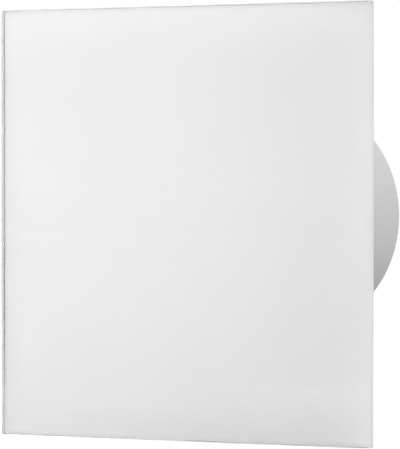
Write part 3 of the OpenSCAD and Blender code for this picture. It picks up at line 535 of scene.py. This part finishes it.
def extruded(name, colour, shade):
    """Extruded plastic along Y: draw lines and slow bands of tone that run the length of the tube."""
    finish, tree, shader = finish_of(name, Specular_IOR_Level=0.4)
    place = own_point(tree)
    along = put(tree, "ShaderNodeMapping", {"Vector": place, "Scale": (1, 0.02, 1)}).outputs[0]
    lines = put(tree, "ShaderNodeTexNoise", {"Vector": along, "Scale": 900.0, "Detail": 3.0})
    bands = put(tree, "ShaderNodeTexNoise", {"Vector": along, "Scale": 60.0, "Detail": 2.0})
    grain = grained(tree, 1500.0, 45.0)
    worn = worn_edges(tree, 0.0003)
    mottle = maths(tree, "MULTIPLY", grain.outputs["Tone"], 0.4)
    tone = maths(tree, "MULTIPLY_ADD", bands.outputs[0], 0.6, mottle)
    paint(tree, shader, tone, colour, shade)
    roughen(tree, shader, lines.outputs[0], 0.14, 0.34)
    height = maths(tree, "MULTIPLY_ADD", grain.outputs["Height"], 0.3, lines.outputs[0])
    relief(tree, shader, height, 0.00003, 0.3, worn.outputs["Normal"])
    return finish


tube_pvc = extruded("tube_pvc", (0.7, 0.7, 0.716), (0.67, 0.67, 0.686))
tube_skin = shell(turned(eased(tube_outline, 0.25 * mm, 4), sides=256), loop_rows=True)
pvc_tube = piece("pvc_tube", [tube_skin], "base", tube_pvc, crease=40)
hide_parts("duct_tube")

# ---- Wall seal ----
# A ring of open-cell foam in a groove of the base. It fills the gap to the wall, so its face is
# uneven and its edges are rolled over.
def band(inner, outer, front, back):
    """The corners of a ring's section, which is a rectangle, as (radius, depth)."""
    return [(inner, front), (outer, front), (outer, back), (inner, back)]


seal_low, seal_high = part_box("wall_seal")
seal_inner = 55.5 * mm
seal_sides, seal_dip = 240, 0.12 * mm
seal_corners = band(seal_inner, seal_high.x, seal_low.y, seal_high.y)
seal_rings = turned(eased(seal_corners, 0.35 * mm, 6), sides=seal_sides)
seal_turn = np.linspace(0, 2 * np.pi, seal_sides, endpoint=False)
unevenness = 0.5 + 0.25 * np.sin(23 * seal_turn) + 0.25 * np.sin(57 * seal_turn + 1)
seal_rings[..., 1] -= seal_dip * unevenness * (seal_rings[..., 1] > seal_low.y / 2)
seal_foam = foam("seal_foam", (0.105, 0.105, 0.11), (0.03, 0.03, 0.032), 1500.0, 0.0004)
foam_ring = piece("foam_ring", [shell(seal_rings, loop_rows=True)], "base", seal_foam)
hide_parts("wall_seal")

# ---- Outdoor grille ----
# A round grille of the same grey PVC, moulded in one piece and pressed into the tube's far end. Its
# rings and spokes are rounded so that they don't whistle.
grille_low, grille_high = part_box("rear_grille")
grille_r = grille_high.x
grille_back = grille_high.y
rim_bore = grille_r - 2.2 * mm
rim_corners = band(rim_bore, grille_r, grille_low.y, grille_back)
grille_shells = [shell(turned(eased(rim_corners, 0.5 * mm), sides=160), loop_rows=True)]
bar_w, bar_front, bar_back = 1.4 * mm, 62 * mm, 64.6 * mm
for ring_r in (36.5 * mm, 28 * mm, 19.5 * mm):
    ring_corners = band(ring_r - bar_w, ring_r, bar_front, bar_back)
    grille_shells.append(shell(turned(eased(ring_corners, 0.6 * mm), sides=128), loop_rows=True))
crown = np.linspace(0, np.pi / 2, 8)
disc_r, disc_front, crown_h = 11 * mm, 61.6 * mm, 1.2 * mm
hollow_r, hollow_back, hollow_ease = 8 * mm, 63.4 * mm, 0.4 * mm
hollow = [
    [0, hollow_back], [hollow_r - hollow_ease, hollow_back], [hollow_r, hollow_back - hollow_ease],
    [hollow_r, disc_front], [disc_r, disc_front],
]
dome = np.stack([disc_r * np.cos(crown), grille_back - crown_h + crown_h * np.sin(crown)], -1)
disc_profile = np.concatenate([hollow, dome])
grille_shells.append(shell(turned(disc_profile, sides=96)))
half_w, spoke_back = bar_w / 2, bar_back - 0.2 * mm
spoke_section = eased(band(-half_w, half_w, bar_front, spoke_back), 0.6 * mm)
spoke_reach = np.array([10 * mm, grille_r - 1 * mm])
for turn in np.arange(8) * np.pi / 4:
    out, side = np.array([np.cos(turn), 0, np.sin(turn)]), np.array([-np.sin(turn), 0, np.cos(turn)])
    rings = spoke_reach[:, None, None] * out + spoke_section[None, :, :1] * side
    rings = rings + spoke_section[None, :, 1:] * np.array([0, 1, 0])
    grille_shells.append(loft(rings))
grille_pvc = moulded("grille_pvc", (0.58, 0.58, 0.59), (0.54, 0.54, 0.55), rough=0.4, texture=1600.0)
round_grille = piece("round_grille", grille_shells, "base", grille_pvc)
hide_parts("rear_grille")

# ---- Fan socket and leads ----
# A nylon socket on the base takes the insert's plug. A grey sheathed lead runs from it round the
# tube to the board, and two brown supply leads join the board to the terminals.
def rounded_route(corners, passes=3):
    """A route with its corners cut: each pass puts points a quarter and three quarters along every leg."""
    route = np.asarray(corners, float)
    for _ in range(passes):
        legs = np.stack([0.75 * route[:-1] + 0.25 * route[1:], 0.25 * route[:-1] + 0.75 * route[1:]], 1)
        route = np.concatenate([route[:1], legs.reshape(-1, 3), route[-1:]])
    return route


def lead(route, radius, sides=16):
    """A round lead along a route: at each point, a circle square to the way the route runs there."""
    onward = np.gradient(route, axis=0)
    onward /= np.linalg.norm(onward, axis=1, keepdims=True)
    across = np.cross(onward, (0, 0.6, 0.8))
    across /= np.linalg.norm(across, axis=1, keepdims=True)
    up = np.cross(across, onward)
    turn = np.linspace(0, 2 * np.pi, sides, endpoint=False)[None, :, None]
    return loft(route[:, None] + radius * (np.cos(turn) * across[:, None] + np.sin(turn) * up[:, None]))


def sheath(name, colour, shade):
    """Soft PVC: a slightly waxy skin with the faint rings and drag marks of its extruder."""
    finish, tree, shader = finish_of(name, Specular_IOR_Level=0.5)
    grain = grained(tree, 1600.0, 180.0)
    paint(tree, shader, grain.outputs["Tone"], colour, shade)
    roughen(tree, shader, grain.outputs["Tone"], 0.12, 0.38)
    relief(tree, shader, grain.outputs["Height"], 0.00004, 0.3)
    return finish


nylon = moulded(
    "natural_nylon", (0.76, 0.72, 0.61), (0.7, 0.65, 0.53), rough=0.36, texture=1800.0, radius=0.0002
)
dress(nylon, "fan_socket", "terminal_block")

fan_lead_r = 1.4 * mm
fan_lead_y = -4 * mm
fan_lead_corners = [
    (-8, 61.5), (-20, 61.5), (-31, 59), (-42, 54), (-52, 45), (-59, 32), (-63, 20), (-64, 5),
    (-62, -7), (-57, -15), (-53.8, -25), (-54, -34), (-54, -45.2),
]
fan_lead_route = rounded_route([(x * mm, fan_lead_y, z * mm) for x, z in fan_lead_corners])
grey_sheath = sheath("grey_sheath", (0.4, 0.4, 0.41), (0.33, 0.33, 0.34))
fan_lead_shell = lead(fan_lead_route, fan_lead_r)
grey_lead = piece("grey_lead", [fan_lead_shell], "base", grey_sheath)
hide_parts("fan_leads")

supply_lead_r, supply_inset = 0.9 * mm, 0.86 * mm
supply_low, supply_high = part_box("supply_leads")
supply_corners = [(33, -6.6), (33, -8.4), (33.6, -9.4), (34.6, -9.7), (38, -9.7)]
supply_shells = [
    lead(rounded_route([(x * mm, y * mm, z) for x, y in supply_corners]), supply_lead_r)
    for z in (supply_low.z + supply_inset, supply_high.z - supply_inset)
]
brown_insulation = sheath("brown_insulation", (0.2, 0.085, 0.04), (0.15, 0.06, 0.028))
brown_leads = piece("brown_leads", supply_shells, "base", brown_insulation)
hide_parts("supply_leads")


# ---- Control board and its parts ----
# A glass-fibre board with a green solder mask over its tracks. It carries a potted mains converter,
# a relay, two capacitors, the controller, two trimmers, a switch, a button and a humidity sensor.
board_mask, tree, shader = finish_of("solder_mask", Specular_IOR_Level=0.6)
place = own_point(tree)
squares = {"Vector": place, "Scale": 260.0}
tracks = put(tree, "ShaderNodeTexVoronoi", squares, feature="F1", distance="CHEBYCHEV")
track = maths(tree, "LESS_THAN", maths(tree, "PINGPONG", tracks.outputs["Distance"], 0.14), 0.05)
grain = grained(tree, 3000.0, 60.0)
mask = tint(tree, grain.outputs["Tone"], (0.015, 0.12, 0.05), (0.02, 0.15, 0.06))
paint(tree, shader, track, mask, (0.05, 0.25, 0.1))
roughen(tree, shader, grain.outputs["Tone"], 0.1, 0.22)
relief(tree, shader, track, 0.00005, 0.5)
dress(board_mask, "control_board", "motor_board")
black_resin = moulded(
    "black_resin", (0.035, 0.035, 0.037), (0.05, 0.05, 0.052), rough=0.5, texture=2200.0, edge_tone=1.8
)
dress(black_resin, "controller_chip", "mode_switch_body", "button_switch", "power_module")
blue_case = moulded(
    "blue_case", (0.03, 0.1, 0.32), (0.04, 0.12, 0.36), rough=0.3, texture=1800.0, edge_tone=1.5
)
dress(blue_case, "relay", "trimmer_bodies")
sensor_cap = moulded("sensor_cap", (0.75, 0.75, 0.74), (0.7, 0.7, 0.69), rough=0.5, texture=2600.0)
dress(sensor_cap, "humidity_sensor")

can_sleeve, tree, shader = finish_of("can_sleeve", Specular_IOR_Level=0.5)
depth = put(tree, "ShaderNodeSeparateXYZ", {0: own_point(tree)})
can_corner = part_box("capacitors")[0]
lid_depth, stripe_width = 0.5 * mm, 1.4 * mm
top = maths(tree, "LESS_THAN", depth.outputs["Y"], can_corner.y + lid_depth)
stripe = maths(tree, "LESS_THAN", depth.outputs["Z"], can_corner.z + stripe_width)
grain = grained(tree, 1500.0, 120.0)
sleeve_tone = tint(tree, grain.outputs["Tone"], (0.02, 0.03, 0.09), (0.03, 0.04, 0.12))
sleeve_tone = tint(tree, stripe, sleeve_tone, (0.45, 0.46, 0.5))
paint(tree, shader, top, sleeve_tone, (0.72, 0.72, 0.73))
tree.links.new(top, shader.inputs["Metallic"])
roughen(tree, shader, grain.outputs["Tone"], 0.1, 0.3)
dress(can_sleeve, "capacitors")

# ---- Electronics cover and terminals ----
# A light grey cover of flame-retardant ABS goes over the board, held by three long screws. The supply
# cable would come in through a rubber grommet, under a saddle clamp.
cover_abs = moulded(
    "cover_abs", (0.5, 0.5, 0.505), (0.46, 0.46, 0.465), rough=0.48, texture=1200.0, depth=0.00007
)
dress(cover_abs, "electronics_cover")
clamp_abs = moulded("clamp_abs", (0.7, 0.7, 0.69), (0.65, 0.65, 0.64), rough=0.4, texture=1500.0)
dress(clamp_abs, "cable_clamp")

grommet_low, grommet_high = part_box("cable_grommet")
grommet_x = (grommet_low.x + grommet_high.x) / 2
grommet_z = (grommet_low.z + grommet_high.z) / 2
cable_r, groove_r, lip_r = 4 * mm, 5.5 * mm, 7 * mm
base_floor = -2.5 * mm
grommet_outline = eased(
    [
        (cable_r, grommet_low.y), (lip_r, grommet_low.y), (lip_r, base_floor), (groove_r, base_floor),
        (groove_r, grommet_high.y), (cable_r, grommet_high.y),
    ],
    0.5 * mm,
)
grommet_rubber = elastomer("grommet_rubber", (0.045, 0.045, 0.046), (0.07, 0.07, 0.07))
grommet_shell = shell(turned(grommet_outline, grommet_x, grommet_z, 64), loop_rows=True)
rubber_grommet = piece("rubber_grommet", [grommet_shell], "base", grommet_rubber)
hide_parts("cable_grommet")

# ---- Insert housing ----
# A tube of white ABS slides into the duct and carries the filter, fan and core. Its front plate holds
# the shutter and has the plug and an orange pull tab.
sleeve_abs = moulded("sleeve_abs", (0.73, 0.73, 0.727), (0.69, 0.69, 0.683), rough=0.4, texture=900.0)
dress(sleeve_abs, "cartridge_sleeve", "shutter_frame")
frame_grey = moulded("frame_grey", (0.5, 0.5, 0.51), (0.45, 0.45, 0.46), rough=0.45)
dress(frame_grey, "filter_frame")
dress(moulded("pull_orange", (0.78, 0.2, 0.03), (0.7, 0.16, 0.02), rough=0.4, texture=1700.0), "pull_tab")
plug_black = moulded(
    "plug_black", (0.03, 0.03, 0.031), (0.045, 0.045, 0.046), rough=0.42, texture=2000.0, edge_tone=2.0
)
dress(plug_black, "fan_plug")
tin_brass = plated("tinned_brass", (0.8, 0.66, 0.36), (0.7, 0.55, 0.28), 0.25)
dress(tin_brass, "plug_pins")

# ---- Shutter slats ----
# Five thin slats of white ABS turn on journals in the frame's rails and close the duct when the fan
# rests. They are moulded more glossy than the housing so that dust wipes off.
slat_abs = moulded(
    "slat_abs", (0.77, 0.77, 0.767), (0.735, 0.735, 0.73), rough=0.3, texture=2000.0, depth=0.00002
)
dress(slat_abs, "slat_1", "slat_2", "slat_3", "slat_4", "slat_5")

# ---- Pleated filter ----
# A round of stiff polyester fleece, pleated and glued into a grey frame. It keeps coarse dust out of
# the fan, and its outer fibres stand up a little.
fleece, tree, shader = finish_of("filter_fleece", Roughness=0.95, Specular_IOR_Level=0.1, Sheen_Weight=0.3)
place = own_point(tree)
strands = []
for turn in (0.4, 1.5, 2.5):
    drawn_out = {"Vector": place, "Rotation": (0, turn, 0), "Scale": (1, 1, 0.12)}
    along = put(tree, "ShaderNodeMapping", drawn_out).outputs[0]
    strand = {"Vector": along, "Scale": 2600.0, "Detail": 2.0, "Distortion": 1.5}
    strands.append(put(tree, "ShaderNodeTexNoise", strand).outputs[0])
mat = maths(tree, "MAXIMUM", maths(tree, "MAXIMUM", strands[0], strands[1]), strands[2])
fibres = put(tree, "ShaderNodeMapRange", {"Value": mat, "From Min": 0.45, "From Max": 0.75})
paint(tree, shader, fibres.outputs[0], (0.5, 0.54, 0.58), (0.78, 0.81, 0.84))
relief(tree, shader, fibres.outputs[0], 0.0003, 0.7)

filter_low, filter_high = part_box("front_filter")
filter_gap = 0.1 * mm
filter_r = filter_high.x - filter_gap
pleat_pitch, pleat_points, pleat_edge = 3.2 * mm, 209, 0.96
fleece_t = 0.55 * mm
pleat_h = (filter_high.y - filter_low.y) / 2 - fleece_t / 2
filter_middle = (filter_low.y + filter_high.y) / 2
sweep = filter_r * np.linspace(-1, 1, pleat_points)
pleats = pleat_h * 2 / np.pi * np.arcsin(pleat_edge * np.sin(2 * np.pi * sweep / pleat_pitch))
half_chord = np.sqrt(np.maximum(filter_r**2 - sweep**2, 0))
along = np.array([-1, -0.99, -0.5, 0, 0.5, 0.99, 1])[:, None]
thickness = fleece_t / 2 * np.array([0, 1, 1, 1, 1, 1, 0])[:, None]
faces = [
    np.stack([sweep + 0 * along, filter_middle + pleats + side * thickness, along * half_chord], -1)
    for side in (-1, 1)
]
fleece_shell = shell(np.concatenate([faces[0], faces[1][:, ::-1]], axis=1))
pleated_fleece = piece("pleated_fleece", [fleece_shell], "insert", fleece, crease=80)
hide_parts("front_filter")

# ---- Fan frame and motor ----
# The frame is glass-filled black nylon with slanted guide vanes behind the rotor. Its hub holds the
# bearings, a laminated stator, six copper coils and a small driver board.
black_nylon = moulded(
    "black_nylon", (0.035, 0.035, 0.037), (0.055, 0.055, 0.057),
    rough=0.46, texture=1300.0, depth=0.00008, edge_tone=1.7,
)
dress(black_nylon, "fan_frame")
laminations = plated("laminations", (0.32, 0.33, 0.35), (0.24, 0.25, 0.27), 0.4)
dress(laminations, "motor_stator", "rotor_yoke")
ferrite = moulded("bonded_ferrite", (0.04, 0.04, 0.042), (0.06, 0.06, 0.06), rough=0.6, texture=3000.0)
dress(ferrite, "rotor_magnet")

copper, tree, shader = finish_of("enamelled_copper", Metallic=1.0, Coat_Weight=0.6)
place = own_point(tree)
wire_tone = put(tree, "ShaderNodeTexNoise", {"Vector": place, "Scale": 700.0, "Detail": 2.0})
paint(tree, shader, wire_tone.outputs[0], (0.62, 0.26, 0.1), (0.78, 0.38, 0.17))
roughen(tree, shader, wire_tone.outputs[0], 0.15, 0.22)
coil_r0, coil_r1, coil_wire = 7.5 * mm, 11.9 * mm, 0.24 * mm
coil_turns, coil_steps, coil_corner = 8, 20, 0.85
coil_depth, coil_half_y, coil_half_z = 13.2 * mm, 3.675 * mm, 1.72 * mm
wind = np.linspace(0, 2 * np.pi * coil_turns, coil_turns * coil_steps)
square = np.stack([np.cos(wind), np.sin(wind)], -1)
square /= np.abs(square).max(1, keepdims=True) ** coil_corner
coil_out = np.linspace(coil_r0, coil_r1, len(wind))
wound = np.stack([coil_out, coil_depth + coil_half_y * square[:, 0], coil_half_z * square[:, 1]], -1)
coil_shells = []
for turn in np.arange(6) * np.pi / 3:
    spun = np.array([[np.cos(turn), 0, -np.sin(turn)], [0, 1, 0], [np.sin(turn), 0, np.cos(turn)]])
    coil_shells.append(lead(wound @ spun.T, coil_wire, sides=6))
copper_coils = piece("copper_coils", coil_shells, "insert", copper, crease=180)
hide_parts("motor_coils")

# ---- Impeller ----
# An axial rotor of black nylon with seven cambered blades on a cap-shaped hub. The blades are thickest
# near their front edge, twist flatter towards the tip and are swept back.
hub_r = 19 * mm
blade_tip_r = 42 * mm
blade_count = 7
blade_middle, blade_shift, root_depth = 11.5 * mm, 0.5 * mm, 1 * mm
root_chord, chord_gain, root_slant, slant_loss = 12.5, 9.5, 50, 22
most_camber, root_thickness, tip_thinning = 0.09, 0.055, 0.45
cap_front, skirt_back, cap_wall = 4.4 * mm, 18.2 * mm, 1.6 * mm
bore_r, boss_r, boss_back = 1 * mm, 3.4 * mm, 7.8 * mm
skirt_r, cap_back = hub_r - cap_wall, cap_front + cap_wall
hub_corners = [
    (bore_r, cap_front + 1 * mm), (3 * mm, cap_front), (hub_r, cap_front), (hub_r, skirt_back),
    (skirt_r, skirt_back), (skirt_r, cap_back), (boss_r, cap_back), (boss_r, boss_back),
    (bore_r, boss_back),
]
hub_outline = eased(hub_corners, 0.5 * mm)
impeller_shells = [shell(turned(hub_outline, sides=128), loop_rows=True)]
span = np.linspace(0, 1, 17)[:, None]
around = np.linspace(0, 2 * np.pi, 36, endpoint=False)[None, :]
chord = (root_chord + chord_gain * span**0.8) * mm
slant = np.radians(root_slant - slant_loss * span)
sweep_back = 0.22 * span**1.6
s = 0.5 * np.cos(around)
camber = most_camber * (1 - (2 * s) ** 2)
thick = root_thickness * (1 - tip_thinning * span)
skin = thick * np.sin(around) * (1 + 0.5 * np.cos(around)) / 1.2
edge_r = hub_r - root_depth + (blade_tip_r - hub_r + root_depth) * span
run, lift = chord * s, chord * (camber + skin)
across = run * np.cos(slant) - lift * np.sin(slant)
blade_y = blade_middle + run * np.sin(slant) + lift * np.cos(slant) - blade_shift
for turn in np.arange(blade_count) * 2 * np.pi / blade_count:
    angle = turn + sweep_back + across / edge_r
    blade = np.stack([edge_r * np.cos(angle), blade_y + 0 * angle, -edge_r * np.sin(angle)], -1)
    impeller_shells.append(loft(blade))
rotor_nylon = moulded(
    "rotor_nylon", (0.04, 0.04, 0.043), (0.06, 0.06, 0.063),
    rough=0.38, texture=1500.0, depth=0.00004, edge_tone=1.8,
)
rotor = piece("bladed_rotor", impeller_shells, "rotor", rotor_nylon, crease=50)
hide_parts("impeller")

# ---- Regenerator core ----
# An extruded cordierite honeycomb stores the heat of the outgoing air. Its hexagon channels run
# straight through, and those cut by the rim are plugged.
core_low, core_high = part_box("regenerator_core")
core_r = core_high.x
cell_pitch = 3.5 * mm
cell_wall = 0.55 * mm
row_step = cell_pitch * np.sqrt(3) / 2
most_cells = 15
rows = np.arange(-most_cells, most_cells + 1)
grid_z, grid_x = np.meshgrid(rows * row_step, rows * cell_pitch, indexing="ij")
grid_x = grid_x + (np.abs(rows)[:, None] % 2) * cell_pitch / 2
cells = np.stack([grid_x.ravel(), grid_z.ravel()], -1)
from_axis = np.linalg.norm(cells, axis=1)
core_rim, rim_gap, plug_dip = core_r - 0.5 * mm, 0.4 * mm, 0.6 * mm
kept = from_axis < core_rim + cell_pitch * 0.4
cells, from_axis = cells[kept], from_axis[kept]
hexagon = np.stack([np.sin(np.arange(6) * np.pi / 3), np.cos(np.arange(6) * np.pi / 3)], -1)
outside = cells[:, None] + hexagon * cell_pitch / np.sqrt(3)
reach = np.linalg.norm(outside, axis=2, keepdims=True)
outside = outside * np.minimum(1, core_rim / reach)
hole_r = (cell_pitch - cell_wall) / np.sqrt(3)
open_cell = from_axis + hole_r < core_rim - rim_gap
hole = cells[:, None] + hexagon * hole_r
inside = np.where(open_cell[:, None, None], hole, outside.mean(1, keepdims=True))


def at_depth(flat, y):
    """Points in X and Z placed at depth y."""
    return np.stack([flat[..., 0], np.full(flat.shape[:-1], y), flat[..., 1]], -1)


plug_depth = np.where(open_cell, 0.0, plug_dip)[:, None]
front_hole, back_hole = at_depth(inside, core_low.y), at_depth(inside, core_high.y)
front_hole[..., 1] += plug_depth
back_hole[..., 1] -= plug_depth
rings = [at_depth(outside, core_low.y), front_hole, back_hole, at_depth(outside, core_high.y)]
core_points = np.stack(rings, 1).reshape(-1, 3)
cell_points = len(rings) * 6
spots_at = np.arange(len(cells))[:, None, None] * cell_points + np.arange(3)[None, :, None] * 6
ahead, behind = np.arange(6), np.roll(np.arange(6), -1)
corners_of = (ahead, behind, 6 + behind, 6 + ahead)
core_quads = np.stack([spots_at + corner for corner in corners_of], -1)
plugged_quads = core_quads[~open_cell][:, [0, 2]]
core_quads = np.concatenate([core_quads[open_cell].reshape(-1, 4), plugged_quads.reshape(-1, 4)])
rim_outline = eased(band(core_rim - 0.05 * mm, core_r, core_low.y, core_high.y), 0.2 * mm)
ceramic, tree, shader = finish_of("cordierite", Specular_IOR_Level=0.25)
grain = grained(tree, 2200.0, 80.0)
place = own_point(tree)
specks = put(tree, "ShaderNodeTexVoronoi", {"Vector": place, "Scale": 700.0}, feature="F1")
speck = maths(tree, "LESS_THAN", specks.outputs["Distance"], 0.12)
fired = tint(tree, grain.outputs["Tone"], (0.74, 0.69, 0.59), (0.67, 0.61, 0.5))
paint(tree, shader, speck, fired, (0.45, 0.36, 0.26))
roughen(tree, shader, grain.outputs["Height"], 0.2, 0.75)
relief(tree, shader, grain.outputs["Height"], 0.00008, 0.6)
core_shells = [(core_points, core_quads), shell(turned(rim_outline, sides=160), loop_rows=True)]
honeycomb = piece("ceramic_honeycomb", core_shells, "insert", ceramic, crease=20)
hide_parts("regenerator_core")

# ---- Core wrap ----
# A strip of dark foam is wound once round the core. It seals it to the sleeve and takes up the
# tolerance of the fired ceramic.
wrap_low, wrap_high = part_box("core_wrap")
wrap_inner = core_r + 0.05 * mm
wrap_sides, wrap_dip = 200, 0.0018
wrap_corners = band(wrap_inner, wrap_high.x, wrap_low.y, wrap_high.y)
wrap_rings = turned(eased(wrap_corners, 0.5 * mm), sides=wrap_sides)
wrap_turn = np.linspace(0, 2 * np.pi, wrap_sides, endpoint=False)
squeeze = 1 - wrap_dip * (1 + np.sin(31 * wrap_turn) * np.sin(11 * wrap_turn)) / 2
outer_half = np.hypot(wrap_rings[..., 0], wrap_rings[..., 2]) > core_r + 0.7 * mm
wrap_rings[..., ::2] *= np.where(outer_half, squeeze, 1)[..., None]
wrap_foam = foam("wrap_foam", (0.08, 0.08, 0.083), (0.03, 0.03, 0.03), 1800.0, 0.0003)
foam_wrap = piece("foam_wrap", [shell(wrap_rings, loop_rows=True)], "insert", wrap_foam)
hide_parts("core_wrap")

# ---- Insect screen ----
# Plain-woven steel wire in a pressed rim, at the outdoor end of the insert. Each wire passes over and
# under the ones that it crosses.
screen_low, screen_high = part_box("insect_screen")
screen_middle = (screen_low.y + screen_high.y) / 2
mesh_pitch, wire_r = 2.2 * mm, 0.19 * mm
screen_bore = 43 * mm
weave = (screen_high.y - screen_low.y) / 2 - wire_r
reach_count = int(screen_bore // mesh_pitch)
halves = np.arange(-2 * reach_count - 2, 2 * reach_count + 3)
anchor, end_gap = 0.5 * mm, 0.3 * mm
rim_outline = eased(band(screen_bore, screen_high.x, screen_low.y, screen_high.y), 0.25 * mm)
screen_shells = [shell(turned(rim_outline, sides=160), loop_rows=True)]
for i in range(-reach_count, reach_count + 1):
    limit = np.sqrt((screen_bore + anchor) ** 2 - (i * mesh_pitch) ** 2)
    inner = halves[np.abs(halves * mesh_pitch / 2) < limit - end_gap] * mesh_pitch / 2
    run = np.concatenate([[-limit], inner, [limit]])
    wave = weave * np.cos(np.pi * run / mesh_pitch + np.pi * i)
    fixed = np.full(len(run), i * mesh_pitch)
    screen_shells.append(lead(np.stack([run, screen_middle + wave, fixed], -1), wire_r, sides=6))
    screen_shells.append(lead(np.stack([fixed, screen_middle - wave, run], -1), wire_r, sides=6))
screen_wire = plated("screen_wire", (0.55, 0.56, 0.57), (0.46, 0.47, 0.48), 0.35, radius=0.00005)
woven_screen = piece("woven_screen", screen_shells, "insert", screen_wire, crease=70)
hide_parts("insect_screen")

# ---- Controls ----
# Two brass-coloured slotted knobs set the run-on time and the humidity limit. A white slider picks the
# mode, and a grey button pairs two units.
for finish_name, colour, shade, names in (
    ("knob_acetal", (0.72, 0.52, 0.16), (0.66, 0.46, 0.12), ("timer_knob", "humidity_knob")),
    ("slider_acetal", (0.8, 0.8, 0.79), (0.76, 0.76, 0.75), ("mode_slider",)),
    ("button_grey", (0.42, 0.42, 0.43), (0.37, 0.37, 0.38), ("pair_button",)),
):
    dress(moulded(finish_name, colour, shade, rough=0.32, texture=2400.0, radius=0.0002), *names)
